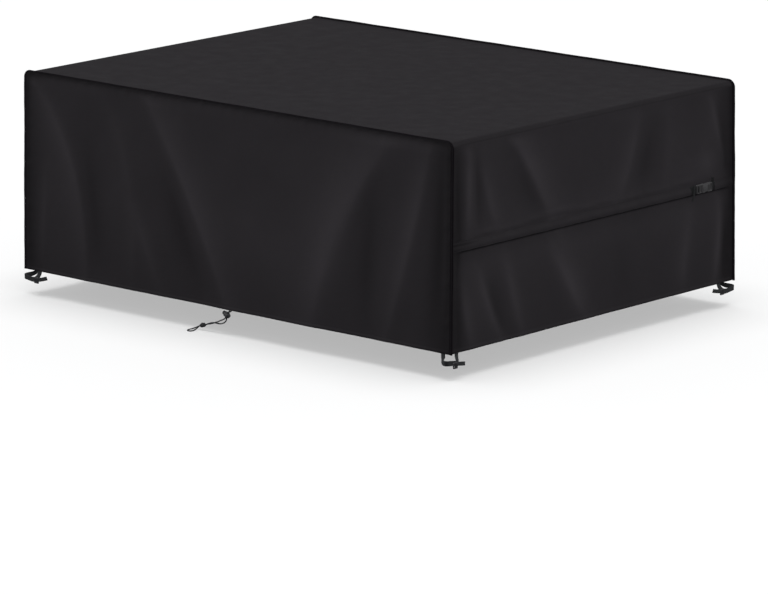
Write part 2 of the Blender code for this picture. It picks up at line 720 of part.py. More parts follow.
def lock_frame():
    """The lock's own frame: Z along its plunger and X the way the cord runs down through it."""
    z = LOCK_AXIS
    y = Vector((0, -1, 0))
    x = y.cross(z)
    return Matrix.Translation(LOCK_CENTRE) @ Matrix((x, y, z)).transposed().to_4x4()


def knot_face(sign, offset):
    """The middle of a strand where it meets one end of the knot."""
    return KNOT_CENTRE + KNOT_AXIS * sign * (KNOT_LENGTH / 2 + KNOT_GAP) + Vector((0, offset, 0))


def build_drawcord(material):
    frame = lock_frame()
    for name, offset, above, below in (
        ("drawcord_strand_a", CORD_APART, STRAND_A_ABOVE, STRAND_A_BELOW),
        ("drawcord_strand_b", -CORD_APART, STRAND_B_ABOVE, STRAND_B_BELOW),
    ):
        in_lock = [frame @ Vector((x, offset, 0)) for x in LOCK_RUN]
        face = knot_face(-1, -offset)
        lead = face - KNOT_AXIS * KNOT_LEAD
        tube(name, smooth_route([*above, *in_lock, *below, lead, face], CORD_SPACING), material)
    start = knot_face(1, CORD_APART)
    end = knot_face(1, -CORD_APART)
    lead = KNOT_AXIS * KNOT_LEAD
    loop = [start, start + lead, *END_LOOP, end + lead, end]
    tube("drawcord_loop", smooth_route(loop, CORD_SPACING), material)


def build_knot(material):
    half = KNOT_LENGTH / 2
    profile = [(0, -half), (KNOT_FACE_RADIUS, -half)]
    for angle in map(math.radians, (-50, -25, 0, 25, 50)):
        profile.append((KNOT_RADIUS * math.cos(angle), half * KNOT_BULGE * math.sin(angle)))
    profile += [(KNOT_FACE_RADIUS, half), (0, half)]
    knot = turned("drawcord_knot", profile, material, steps=16)
    turn = Vector((0, 0, 1)).rotation_difference(KNOT_AXIS).to_matrix().to_4x4()
    place([knot], Matrix.Translation(KNOT_CENTRE) @ turn)


def build_lock(plastic):
    """The cord lock: a barrel, and a spring-loaded plunger whose hole pinches the two strands."""
    frame = lock_frame()
    bore = PLUNGER_RADIUS + PLUNGER_CLEARANCE
    bore_wall = ((bore, BARREL_OUTSIDE[-1][1]), (bore, BORE_FOOT), (0.0, BORE_FOOT))
    barrel = turned("cord_lock_barrel", BARREL_OUTSIDE + bore_wall, plastic)
    wide, high = BARREL_HOLE
    barrel_hole = box("barrel_hole", (-2 * LOCK_RADIUS, -wide, -high), (2 * LOCK_RADIUS, wide, high), plastic,
                      HOLE_BEVEL)
    cut(barrel, barrel_hole)
    button = turned("cord_lock_button", BUTTON_OUTSIDE, plastic)
    wide, high = BUTTON_HOLE
    button_hole = box("button_hole", (-2 * LOCK_RADIUS, -wide, -high),
                      (2 * LOCK_RADIUS, wide, high + PLUNGER_TRAVEL + GAP), plastic, HOLE_BEVEL)
    cut(button, button_hole)
    place([barrel, barrel_hole, button, button_hole], frame)


# ---------------------------------------------------------------- the whole cover

def main():
    for obj in list(bpy.data.objects):
        bpy.data.objects.remove(obj, do_unlink=True)

    cloth = make_material("cover_cloth", (0.028, 0.029, 0.030), 0.62)
    binding = make_material("binding_tape", (0.014, 0.014, 0.015), 0.70)
    webbing = make_material("webbing", (0.022, 0.023, 0.025), 0.72)
    buckle = make_material("buckle_plastic", (0.110, 0.108, 0.112), 0.38)
    black = make_material("black_plastic", (0.018, 0.018, 0.020), 0.36)
    cord = make_material("drawcord", (0.016, 0.016, 0.017), 0.75)

    build_top_and_ends(cloth)
    build_long_side("front_side", -1, FRONT_CREASES, cloth)
    build_long_side("back_side", 1, BACK_CREASES, cloth)
    build_binding("front_binding", -1, binding)
    build_binding("back_binding", 1, binding)

    seam = end_half_width(BELT_DROP) - CASING_SHORT
    bay_start = BUCKLE_Y - BUCKLE_BAY
    bay_end = BUCKLE_Y + BUCKLE_BAY
    build_belt("belt_casing", -seam, bay_start, CASING_WIDTH, CASING_THICK, CASING_EASE, cloth)
    build_belt("belt_casing_end", bay_end, seam, CASING_WIDTH, CASING_THICK, CASING_EASE, cloth)
    build_belt("belt", bay_start + GAP, BUCKLE_Y - BELT_TO_TONGUE, BELT_WIDTH, BELT_THICK, GAP, webbing)
    build_belt("belt_anchor", BUCKLE_Y + BELT_TO_SOCKET, bay_end - GAP, BELT_WIDTH, BELT_THICK, GAP, webbing)
    build_buckle(buckle)
    build_belt_tails(webbing)

    for corner in CORNERS:
        build_corner_strap(*corner, webbing, black)

    build_lock(black)
    build_knot(cord)
    build_drawcord(cord)
    bpy.context.view_layer.update()


if __name__ == "__main__":
    main()
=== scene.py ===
"""Looks of a fitted patio furniture cover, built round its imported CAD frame.

Frame: metres, +Z up.  The origin is the middle of the underside of the top.  The long sides run along X,
the drawcord is on the -Y side and the belt is on the +X end.
"""

import math

import bmesh
import bpy
import numpy as np
from bpy.props import FloatProperty, FloatVectorProperty, PointerProperty
from mathutils import Matrix, Vector


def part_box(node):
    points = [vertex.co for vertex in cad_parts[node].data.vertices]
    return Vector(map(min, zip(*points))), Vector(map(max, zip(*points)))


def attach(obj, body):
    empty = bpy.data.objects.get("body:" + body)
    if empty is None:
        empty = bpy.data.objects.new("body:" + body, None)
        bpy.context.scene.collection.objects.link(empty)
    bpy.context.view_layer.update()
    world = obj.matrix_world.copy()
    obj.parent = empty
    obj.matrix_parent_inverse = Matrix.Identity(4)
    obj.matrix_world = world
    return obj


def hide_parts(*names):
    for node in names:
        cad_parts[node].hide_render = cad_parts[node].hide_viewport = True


bl_info = {
    "name": "Patio Cover Looks",
    "version": (1, 0, 0),
    "blender": (4, 5, 0),
    "location": "View3D > Sidebar > Patio Cover",
    "description": "Builds the cloth, bindings, belt, straps and drawcord of a fitted furniture cover",
    "category": "Object",
}

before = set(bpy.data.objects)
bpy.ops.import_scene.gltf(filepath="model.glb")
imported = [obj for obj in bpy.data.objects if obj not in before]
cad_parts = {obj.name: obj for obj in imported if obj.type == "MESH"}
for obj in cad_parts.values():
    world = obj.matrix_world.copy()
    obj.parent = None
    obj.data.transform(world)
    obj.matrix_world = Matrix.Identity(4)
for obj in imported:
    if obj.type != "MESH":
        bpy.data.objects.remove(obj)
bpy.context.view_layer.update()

# The cover, in metres
LENGTH = 1.98
WIDTH = 1.50
DROP = 0.71
SIDE_FLARE = 0.010
END_FLARE = 0.004
FOLD_RADIUS = 0.018
FOLD_STEPS = 8
TOP_ROWS = 104
CLOTH = 0.0012
HEM_HEIGHT = 0.020
HEM_FOLD = 0.0020        # how much thicker the turned hem is
HEM_STITCH = 0.0135
STITCH_PROUD = 0.0003
TOP = 0.002              # outer face of the top
END_INSET = 0.0023       # from a long side's outer face in to the edge of a short end

# Belt
BELT_DROP = 0.350
BELT_WIDTH = 0.025
BELT_THICK = 0.0018
BELT_OFF = 0.0014        # from the cloth to the middle of the webbing
CASING_HALF = 0.017      # half the width of the channel that the belt runs in
CASING_INSET = 0.0020    # from the edge of the short end in to the end of the casing
CASING_TOP = BELT_DROP - CASING_HALF
CASING_FOOT = BELT_DROP + CASING_HALF
BELT_PROUD = 0.004
BELT_RECESS = 0.008
BELT_FADE = 0.085
BUCKLE_Y = 0.579
BUCKLE_BAY = 0.066
BELT_TONE = 0.40         # how light the belt is beside the straps
# Creases: half width on the side of the lower along and of the higher along; height + out, - in.
FRONT_CREASES = (
    # start (along, drop), bend (along, drop), end (along, drop), before, after, height
    ((0.03, 0.03), (0.23, 0.30), (0.30, 0.70), 0.070, 0.024, 0.0075),
    ((0.31, 0.24), (0.33, 0.44), (0.36, 0.62), 0.050, 0.060, -0.0050),
    ((0.37, 0.04), (0.50, 0.30), (0.52, 0.70), 0.050, 0.030, 0.0030),
    ((0.54, 0.42), (0.60, 0.56), (0.66, 0.69), 0.026, 0.040, 0.0042),
    ((0.59, 0.02), (0.80, 0.34), (0.98, 0.70), 0.026, 0.080, 0.0080),
    ((0.70, 0.32), (0.75, 0.45), (0.84, 0.64), 0.070, 0.050, -0.0050),
    ((1.72, 0.02), (1.50, 0.34), (1.36, 0.70), 0.120, 0.050, 0.0095),
    ((1.67, 0.12), (1.62, 0.38), (1.62, 0.66), 0.060, 0.070, -0.0055),
    ((1.89, 0.03), (1.82, 0.32), (1.70, 0.70), 0.060, 0.030, 0.0070),
    ((0.10, 0.34), (0.09, 0.50), (0.08, 0.66), 0.026, 0.034, 0.0035),
    ((1.94, 0.05), (1.93, 0.35), (1.90, 0.68), 0.045, 0.050, -0.0050),
    ((1.02, 0.15), (1.20, 0.14), (1.42, 0.11), 0.080, 0.080, 0.0014),
    ((1.00, 0.38), (1.12, 0.43), (1.22, 0.56), 0.090, 0.080, 0.0022),
)
BELT_END_CREASES = (
    ((0.085, 0.03), (0.080, 0.17), (0.075, 0.33), 0.024, 0.030, 0.0065),
    ((0.030, 0.05), (0.030, 0.35), (0.030, 0.69), 0.020, 0.026, -0.0055),
    ((0.125, 0.04), (0.135, 0.15), (0.140, 0.30), 0.024, 0.022, -0.0050),
    ((0.140, 0.07), (0.180, 0.20), (0.230, 0.32), 0.022, 0.038, 0.0045),
    ((0.310, 0.03), (0.400, 0.15), (0.510, 0.33), 0.018, 0.070, 0.0062),
    ((0.330, 0.10), (0.400, 0.22), (0.470, 0.32), 0.050, 0.030, -0.0030),
    ((0.975, 0.05), (0.930, 0.19), (0.860, 0.33), 0.060, 0.026, 0.0046),
    ((1.060, 0.10), (1.020, 0.20), (1.000, 0.31), 0.050, 0.060, -0.0030),
    ((1.130, 0.06), (1.135, 0.20), (1.110, 0.33), 0.030, 0.080, 0.0026),
    ((1.375, 0.04), (1.410, 0.15), (1.450, 0.26), 0.030, 0.020, 0.0058),
    ((1.420, 0.09), (1.450, 0.22), (1.475, 0.33), 0.026, 0.026, -0.0048),
    ((1.340, 0.22), (1.350, 0.27), (1.370, 0.32), 0.060, 0.060, 0.0036),
    ((0.050, 0.44), (0.060, 0.56), (0.100, 0.70), 0.026, 0.034, 0.0055),
    ((0.140, 0.46), (0.185, 0.58), (0.250, 0.70), 0.034, 0.020, 0.0058),
    ((0.190, 0.50), (0.225, 0.60), (0.280, 0.69), 0.024, 0.030, -0.0040),
    ((0.275, 0.44), (0.310, 0.57), (0.360, 0.70), 0.030, 0.030, 0.0048),
    ((0.520, 0.44), (0.600, 0.57), (0.690, 0.70), 0.030, 0.065, 0.0060),
    ((0.900, 0.46), (0.890, 0.58), (0.930, 0.68), 0.080, 0.060, -0.0014),
    ((1.260, 0.44), (1.230, 0.58), (1.220, 0.70), 0.050, 0.030, 0.0042),
    ((1.430, 0.40), (1.420, 0.56), (1.400, 0.70), 0.024, 0.034, 0.0066),
    ((1.465, 0.45), (1.465, 0.58), (1.460, 0.69), 0.026, 0.026, -0.0050),
)
BACK_CREASES = (
    ((0.30, 0.05), (0.38, 0.35), (0.42, 0.70), 0.060, 0.030, 0.0060),
    ((0.92, 0.20), (0.96, 0.45), (1.02, 0.70), 0.040, 0.080, 0.0060),
    ((1.62, 0.05), (1.56, 0.35), (1.48, 0.70), 0.070, 0.040, 0.0060),
)
PLAIN_END_CREASES = (
    ((0.16, 0.05), (0.20, 0.35), (0.26, 0.70), 0.040, 0.060, 0.0055),
    ((0.78, 0.25), (0.76, 0.48), (0.72, 0.70), 0.060, 0.050, 0.0055),
    ((1.36, 0.05), (1.31, 0.35), (1.25, 0.70), 0.060, 0.030, 0.0055),
)
# Small ripples that the belt presses into the cloth just above it: along, drop, half length, height
BELT_RIPPLES = (
    (0.175, 0.322, 0.050, 0.0022),
    (0.300, 0.326, 0.070, 0.0018),
    (0.420, 0.318, 0.045, 0.0024),
    (0.560, 0.312, 0.085, 0.0030),
    (0.690, 0.322, 0.060, 0.0024),
    (0.800, 0.316, 0.050, 0.0018),
    (0.930, 0.324, 0.070, 0.0020),
    (1.080, 0.322, 0.060, 0.0016),
    (1.230, 0.318, 0.060, 0.0022),
)
RIPPLE_REACH = 0.0085
# Slack waves: length along, length down, phase, height
BROAD_WAVES = (
    (0.83, 1.10, 0.4, 0.0012),
    (0.47, 0.62, 2.1, 0.0007),
    (0.29, 0.35, 4.0, 0.0004),
)
# Faint ripples of the top: length, direction, phase, height
TOP_WAVES = (
    (0.61, 0.35, 0.7, 0.0009),
    (0.37, 1.35, 2.9, 0.0005),
    (0.24, 0.80, 5.2, 0.0003),
    (0.148, 1.9, 1.1, 0.0001),
)
# Pucker beside a seam: wave length, phase, share
PUCKERS = ((0.047, 0.3, 0.40), (0.071, 1.9, 0.35), (0.113, 4.4, 0.25))
PUCKER_HEIGHT = 0.0013
PUCKER_REACH = 0.022
FULL_PAINT_HEIGHT = 0.0075      # a crease this high gets the full painted highlight or shade
END_FULL_PAINT_HEIGHT = 0.0052  # the same on the short ends
# Painted shade that darkens the casing, which tilts up into the light
CASING_PAINTED_SHADE = -0.30
TOP_PAINTED_SHADE = -0.69          # painted shade over the whole top, which the overhead light makes lighter
# Painted shade beside the corners: how dark, and how far it reaches
CORNER_PAINTED_SHADE = 0.85
CORNER_REACH = 0.060
# Painted shade beside a bound seam: how dark, and how far it reaches
SEAM_PAINTED_SHADE = 0.80
SEAM_REACH = 0.011
HEM_PAINTED_SHADE = 0.28          # painted shade: the cloth darkens towards its hem
# Painted shadow under the casing's lower edge
UNDER_CASING_PAINTED_SHADOW = 0.90

# Camera and floor
CAMERA_PLACE = (12.173, -13.687, 3.376)
CAMERA_LOOK = (-0.64712, 0.72938, -0.22189)
CAMERA_LENS = 248.77
CAMERA_REACH = 400.0
FLOOR_Z = -0.80
FLOOR_SIZE = 600.0
FLOOR_WHITE = 0.612
WORLD_COLOUR = (0.97, 0.985, 1.0, 1.0)
WORLD_LIGHT = 0.30
SUNS = (
    # name, direction towards the light, strength, spread in degrees, casts shadows
    ("overhead", (0.0, 0.0, 1.0), 2.02, 50.0, True),
    ("left", (-0.65, -0.60, 0.45), 2.6, 20.0, False),
    ("right", (0.68, 0.45, 0.40), 2.5, 20.0, False),
)

# The pieces of cloth, as cut
LONG_SIDES = (
    # name, side, creases, seed, spacing, node
    ("cover_front_side", -1, FRONT_CREASES, 0.0, 0.0075, "front_side"),
    ("cover_back_side", 1, BACK_CREASES, 1.4, 0.0140, "back_side"),
)
ENDS = (
    # side, creases, seed, whether it carries the belt
    (-1, PLAIN_END_CREASES, 0.9, False),
    (1, BELT_END_CREASES, 0.2, True),
)
BINDINGS = (
    # name, side, seed, node
    ("front_seam_binding", -1, 0.4, "front_binding"),
    ("back_seam_binding", 1, 2.3, "back_binding"),
)


# ---------------------------------------------------------------- settings

def length_setting(name, description, default):
    return FloatProperty(name=name, description=description, default=default, unit="LENGTH")


def colour_setting(name, description, *default):
    return FloatVectorProperty(name=name, description=description, default=default, subtype="COLOR", size=3)


class CoverSizes(bpy.types.PropertyGroup):
    """Sizes that a user would change."""

    stitch_pitch: length_setting("Stitch Pitch", "From one stitch to the next", 0.0044)
    stitch_length: length_setting("Stitch Length", "Thread that shows in one stitch", 0.0032)
    thread: length_setting("Thread", "Diameter of the sewing thread", 0.0009)
    cord_diameter: length_setting("Cord Diameter", "Diameter of the drawcord", 0.0045)
    weave_pitch: length_setting("Weave Pitch", "Distance between the yarns of the cloth", 0.0011)


class CoverColours(bpy.types.PropertyGroup):
    """Colours that a user would change."""

    cloth: colour_setting("Cloth", "Colour of the coated cloth", 0.0203, 0.0184, 0.0206)
    tape: colour_setting("Tape", "Colour of the binding tape", 0.0050, 0.0040, 0.0052)
    webbing: colour_setting("Webbing", "Colour of the straps and the belt", 0.016, 0.017, 0.018)
    buckle: colour_setting("Belt Buckle", "Colour of the belt's plastic buckle", 0.029, 0.028, 0.030)
    plastic: colour_setting(
        "Black Plastic", "Colour of the cord lock and the small buckles", 0.014, 0.014, 0.016)
    cord: colour_setting("Drawcord", "Colour of the braided drawcord", 0.013, 0.013, 0.015)
    thread: colour_setting("Thread", "Colour of the sewing thread", 0.013, 0.012, 0.014)


def sizes():
    return bpy.context.scene.cover_sizes


def colours():
    return bpy.context.scene.cover_colours


# ---------------------------------------------------------------- mesh helpers

def smooth_step(value, low, high):
    t = np.clip((np.asarray(value, float) - low) / (high - low), 0.0, 1.0)
    return t * t * (3.0 - 2.0 * t)


def run_along(points):
    """The distance along a row of points to each of them."""
    return np.concatenate([[0.0], np.cumsum(np.linalg.norm(np.diff(points, axis=0), axis=1))])


def combine(*parts):
    """Points, from arrays of their coordinates."""
    return np.stack(np.broadcast_arrays(*parts), axis=-1)


def unit_rows(vectors):
    return vectors / np.linalg.norm(vectors, axis=1)[:, None]


def link(name, data):
    """A new object in the scene."""
    obj = bpy.data.objects.new(name, data)
    bpy.context.scene.collection.objects.link(obj)
    return obj


def finished_mesh(obj):
    """A new mesh of an object with its modifiers applied."""
    return bpy.data.meshes.new_from_object(obj.evaluated_get(bpy.context.evaluated_depsgraph_get()))


def dress(mesh, material, angle):
    """Give a mesh its one material and smooth shading, with the edges past an angle left sharp."""
    mesh.materials.clear()
    mesh.materials.append(material)
    mesh.shade_smooth()
    mesh.set_sharp_from_angle(angle=math.radians(angle))


def store_painted_shading(mesh, painted_shading):
    """Store the painted highlight and shade of each point of the cloth, where -1 is darkest and 1 is lightest."""
    layer = mesh.attributes.new("painted_shading", "FLOAT", "POINT")
    layer.data.foreach_set("value", np.asarray(painted_shading, np.float32))


def mesh_of(name, points, faces, uvs=None):
    """A mesh of points and faces, with one UV for each corner of its faces."""
    mesh = bpy.data.meshes.new(name)
    mesh.from_pydata(np.asarray(points, float).tolist(), [], faces)
    if uvs is not None:
        mesh.uv_layers.new(name="UVMap").data.foreach_set("uv", np.asarray(uvs, np.float32).ravel())
    return mesh


def sheet_object(name, outer, inner, uv, painted_shading, material):
    """Join two grids of points, [row, column], into one closed sheet, with the painted highlight and shade of each
    point.
    """
    rows, columns = outer.shape[:2]
    index = np.arange(rows * columns).reshape(rows, columns)
    quads = np.stack([index[:-1, :-1], index[:-1, 1:], index[1:, 1:], index[1:, :-1]], axis=-1).reshape(-1, 4)
    back = quads[:, ::-1] + rows * columns
    rim = np.concatenate([index[0, :], index[1:, -1], index[-1, -2::-1], index[-2:0:-1, 0]])
    after = np.roll(rim, -1)
    edge = np.stack([after, rim, rim + rows * columns, after + rows * columns], axis=-1)
    quads = np.concatenate([quads, back, edge])
    points = np.concatenate([outer.reshape(-1, 3), inner.reshape(-1, 3)])
    a, b, c, d = (points[quads[:, k]] for k in range(4))
    if (a * (np.cross(b, c) + np.cross(c, d))).sum() < 0.0:
        quads = quads[:, ::-1]
    mesh = mesh_of(name, points, quads.tolist(), np.tile(uv.reshape(-1, 2), (2, 1))[quads.ravel()])
    store_painted_shading(mesh, np.tile(painted_shading.ravel(), 2))
    mesh.materials.append(material)
    mesh.shade_smooth()
    return link(name, mesh)


def swept_object(name, sections, material, angle, run):
    """Join equal rings of points into a closed solid.  UV: metres along the run, metres round the ring."""
    count, ring = sections.shape[:2]
    index = np.arange(count * ring).reshape(count, ring)
    following = np.roll(index, -1, axis=1)
    faces = np.stack([index[:-1], following[:-1], following[1:], index[1:]], axis=-1).reshape(-1, 4).tolist()
    faces += [index[0][::-1].tolist(), index[-1].tolist()]
    points = sections.reshape(-1, 3)
    volume = 0.0
    for first, *rest in faces:
        volume += sum(points[first] @ np.cross(points[b], points[c]) for b, c in zip(rest, rest[1:]))
    if volume < 0.0:
        faces = [face[::-1] for face in faces]
    step = np.linalg.norm(sections[0] - np.roll(sections[0], 1, axis=0), axis=1)
    step[0] = 0.0
    uvs = combine(run[:, None], np.cumsum(step)).reshape(-1, 2)
    mesh = mesh_of(name, points, faces, uvs[[corner for face in faces for corner in face]])
    dress(mesh, material, angle)
    return link(name, mesh)


def smooth_route(points, spacing):
    """Even points on a smooth curve through a route's own points."""
    points = [Vector(p) for p in points]
    padded = [2 * points[0] - points[1]] + points + [2 * points[-1] - points[-2]]
    fine = []
    for a, b, c, d in zip(padded, padded[1:], padded[2:], padded[3:]):
        for k in range(16):
            t = k / 16
            fine.append(0.5 * (2 * b + (c - a) * t + (2 * a - 5 * b + 4 * c - d) * t ** 2
                               + (3 * b - a - 3 * c + d) * t ** 3))
    fine = np.array(fine + [points[-1]])
    lengths = run_along(fine)
    even = np.linspace(0.0, lengths[-1], max(round(lengths[-1] / spacing), 2) + 1)
    return np.stack([np.interp(even, lengths, fine[:, k]) for k in range(3)], axis=-1)


def carry(obj, slot, *nodes, body="cover"):
    """Tie a finished piece to its body and hide the CAD nodes that it stands for.  The slot is not used."""
    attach(obj, body)
    if nodes:
        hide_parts(*nodes)


# ---------------------------------------------------------------- the draped shape

def crease_line(start, bend, end):
    """Points of the smooth curve from start through bend to end."""
    t = np.linspace(0.0, 1.0, 21)[:, None]
    start, bend, end = (np.array(p) for p in (start, bend, end))
    return start * (1 - t) * (1 - 2 * t) + bend * 4 * t * (1 - t) + end * t * (2 * t - 1)


def crease_height(along, drop, creases):
    """How far the cloth stands out of its plane: each crease is a ridge or trough, steeper on one side."""
    height = np.zeros(np.broadcast(along, drop).shape)
    for start, bend, end, before, after, rise in creases:
        line = crease_line(start, bend, end)
        best = np.full(height.shape, np.inf)
        where = np.zeros(height.shape)
        side = np.zeros(height.shape)
        for k, (a, b) in enumerate(zip(line, line[1:])):
            run = b - a
            px, py = along - a[0], drop - a[1]
            t = np.clip((px * run[0] + py * run[1]) / (run @ run), 0.0, 1.0)
            distance = np.hypot(px - run[0] * t, py - run[1] * t)
            nearer = distance < best
            best = np.where(nearer, distance, best)
            where = np.where(nearer, (k + t) / (len(line) - 1), where)
            side = np.where(nearer, np.sign(run[1] * px - run[0] * py), side)
        reach = np.where(side > 0, after, before)
        crest = 0.20 * min(before, after)
        away = np.sqrt(best ** 2 + crest ** 2) - crest
        swell = 0.45 + 0.55 * np.sin(math.pi * where)
        height += rise * swell * np.exp(-((away / reach) ** 1.15))
    return height


def slack(along, drop, seed):
    """Broad, low waves and small unevenness of hanging cloth."""
    total = 0.0
    for number, (length, down, phase, height) in enumerate(BROAD_WAVES):
        total = total + height * (np.sin(math.tau * (along / length + 0.35 * drop / down) + phase + seed)
                                  * np.cos(math.tau * drop / down + 1.3 * number + seed))
    return total


def pucker(run, away, seed):
    """Small gathers beside a seam that run straight out from it."""
    away = np.maximum(away, 0.0)
    wave = 0.0
    for length, phase, share in PUCKERS:
        wave = wave + share * np.sin(math.tau * run / length + phase + seed + 0.8 * np.sin(run * 9.0 + phase))
    return PUCKER_HEIGHT * wave * np.exp(-((away / PUCKER_REACH) ** 1.2)) * smooth_step(away, 0.0, 0.006)


def hem_relief(drop):
    """The turned hem stands out a little, with its stitch line drawn in and the cord's channel below it."""
    up = DROP - drop
    channel = 0.0011 * np.exp(-(((up - 0.0062) / 0.0042) ** 2))
    stitch = -0.0010 * np.exp(-(((up - HEM_STITCH) / 0.0022) ** 2))
    edge = 0.0005 * smooth_step(up, HEM_HEIGHT + 0.0012, HEM_HEIGHT - 0.0012)
    return channel + stitch + edge


def belt_set(along, drop):
    """The +X end leans out to its belt and lies back just below it."""
    fade = smooth_step(np.minimum(along, WIDTH - along), 0.012, BELT_FADE)
    below, above = drop - BELT_DROP - CASING_HALF, CASING_TOP - drop
    fallen = np.exp(-((np.maximum(below, 0.0) / 0.075) ** 2))
    settle = smooth_step(below, -0.001, 0.011)
    under = BELT_PROUD * (1.0 - settle) - BELT_RECESS * settle * fallen
    over = BELT_PROUD * np.exp(-((np.maximum(above, 0.0) / 0.060) ** 2))
    return fade * np.where(below > 0.0, under, over)


def side_plane(drop):
    return WIDTH / 2 + SIDE_FLARE * np.maximum(drop, 0.0) / DROP


def end_plane(drop):
    return LENGTH / 2 + END_FLARE * np.maximum(drop, 0.0) / DROP


def side_face(along, drop, creases, seed):
    """How far out the outer face of a long side is."""
    edge = np.minimum(along, LENGTH - along)
    seam = np.minimum(edge, drop)
    fade = smooth_step(edge, 0.002, 0.045) * smooth_step(drop, 0.002, 0.050)
    relief = fade * (crease_height(along, drop, creases) + slack(along, drop, seed))
    relief = relief + pucker(along, drop, seed) + pucker(drop, edge, seed + 1.7)
    return side_plane(drop) + relief + hem_relief(drop) * smooth_step(seam, 0.0, 0.006)


def end_face(along, drop, creases, seed, belted):
    """How far out the outer face of a short end is."""
    edge = np.minimum(along, WIDTH - along)
    level = np.where(belted & (np.abs(drop - BELT_DROP) <= CASING_HALF), BELT_DROP, drop)
    fade = smooth_step(edge, 0.002, 0.040) * smooth_step(level, 0.016, 0.060)
    relief = fade * (crease_height(along, level, creases) + slack(along, level, seed))
    if belted:
        near_belt = np.abs(level - BELT_DROP)
        ripples = 0.0
        for place, height, reach, rise in BELT_RIPPLES:
            ripples = ripples + rise * np.exp(-(((along - place) / reach) ** 2)
                                              - (((level - height) / RIPPLE_REACH) ** 2))
        relief = relief * smooth_step(near_belt, 0.0, 0.08) + belt_set(along, level)
        relief = relief + ripples * smooth_step(near_belt, 0.017, 0.024)
        relief = relief + pucker(along, near_belt - CASING_HALF, 2.2) * 0.8 * (near_belt > CASING_HALF)
    relief = relief + pucker(drop, edge, seed + 0.6) * smooth_step(drop, 0.02, 0.05)
    return end_plane(drop) + relief + hem_relief(drop) * smooth_step(edge, 0.0, 0.006)


def corner_painted_shade(edge):
    """Painted shade: the cloth is darker beside a corner."""
    return CORNER_PAINTED_SHADE * np.exp(-((edge / CORNER_REACH) ** 1.6))


def crease_light_and_shade(along, drop, size, creases, bound_top):
    """Painted light: ridges are painted lighter, as if lit, and hollows, the cloth beside corners and beside a
    bound seam, and the cloth towards the hem are painted darker, as if shaded.
    """
    edge = np.minimum(along, size - along)
    seam = np.maximum(np.minimum(edge, drop) if bound_top else edge, 0.0)
    fade = smooth_step(edge, 0.002, 0.045) * smooth_step(drop, 0.0, 0.04)
    height = crease_height(along, drop, creases) * fade
    beside = corner_painted_shade(edge) + SEAM_PAINTED_SHADE * np.exp(-((seam / SEAM_REACH) ** 2))
    painted_lightness = height / (FULL_PAINT_HEIGHT if bound_top else END_FULL_PAINT_HEIGHT)
    return np.sign(painted_lightness) * np.abs(painted_lightness) ** 1.3 - beside - HEM_PAINTED_SHADE * smooth_step(drop, 0.40, DROP)


def end_half_width(drop):
    """Half the width of a short end: it stops just inside the long sides' inner faces."""
    return side_plane(drop) - END_INSET


def thickness(drop):
    """The cloth is doubled in the turned hem."""
    return CLOTH + HEM_FOLD * smooth_step(drop, DROP - HEM_HEIGHT - 0.001, DROP - HEM_HEIGHT + 0.001)


def fold_angles(steps):
    return np.radians(np.linspace(90.0, 0.0, steps + 1))


def graded(start, stop, fine, coarse, reach):
    """Places from start to stop, finer near both ends."""
    places = [start]
    while places[-1] < stop:
        edge = min(places[-1] - start, stop - places[-1])
        places.append(places[-1] + fine + (coarse - fine) * min(edge / reach, 1.0))
    places = np.array(places)
    return start + (places - start) * (stop - start) / (places[-1] - start)


def end_drops(belted):
    """Rows of a short end from the fold down to the hem."""
    if not belted:
        return graded(FOLD_RADIUS - TOP, DROP, 0.0028, 0.018, 0.09)
    upper = graded(FOLD_RADIUS - TOP, CASING_TOP, 0.006, 0.011, 0.04)
    lower = graded(CASING_FOOT, DROP, 0.0028, 0.010, 0.06)
    return np.concatenate([upper, np.linspace(CASING_TOP, CASING_FOOT, 4)[1:], lower[1:]])


def end_grids(side, creases, seed, belted, fractions):
    """Outer and inner points of a short end from the fold down, and their painted highlight and shade."""
    drop = end_drops(belted)[:, None]
    y = fractions * end_half_width(drop)
    out = end_face(y + WIDTH / 2, drop, creases, seed, belted)
    painted_shading = crease_light_and_shade(y + WIDTH / 2, drop, WIDTH, creases, False)
    if belted:
        # Painted shadow: a dark line just under the casing's lower edge
        painted_shading = painted_shading - UNDER_CASING_PAINTED_SHADOW * np.exp(-(((drop - CASING_FOOT - 0.003) / 0.006) ** 2))
    return combine(side * out, y, -drop), combine(side * (out - thickness(drop)), y, -drop), painted_shading


def top_relief(x, y):
    """The top lies on the furniture: nearly level, with faint ripples."""
    edge = np.minimum(LENGTH / 2 - np.abs(x), WIDTH / 2 - np.abs(y))
    wave = 0.0
    for length, turn, phase, height in TOP_WAVES:
        wave = wave + height * np.sin(math.tau * (x * math.cos(turn) + y * math.sin(turn)) / length + phase
                                      + 0.9 * np.sin(x * 3.1 + phase) + 0.7 * np.sin(y * 4.3 - phase))
    beside = pucker(x, WIDTH / 2 - np.abs(y), 3.3) * smooth_step(edge, 0.0, 0.02)
    return smooth_step(edge, 0.0, 0.10) * wave + beside


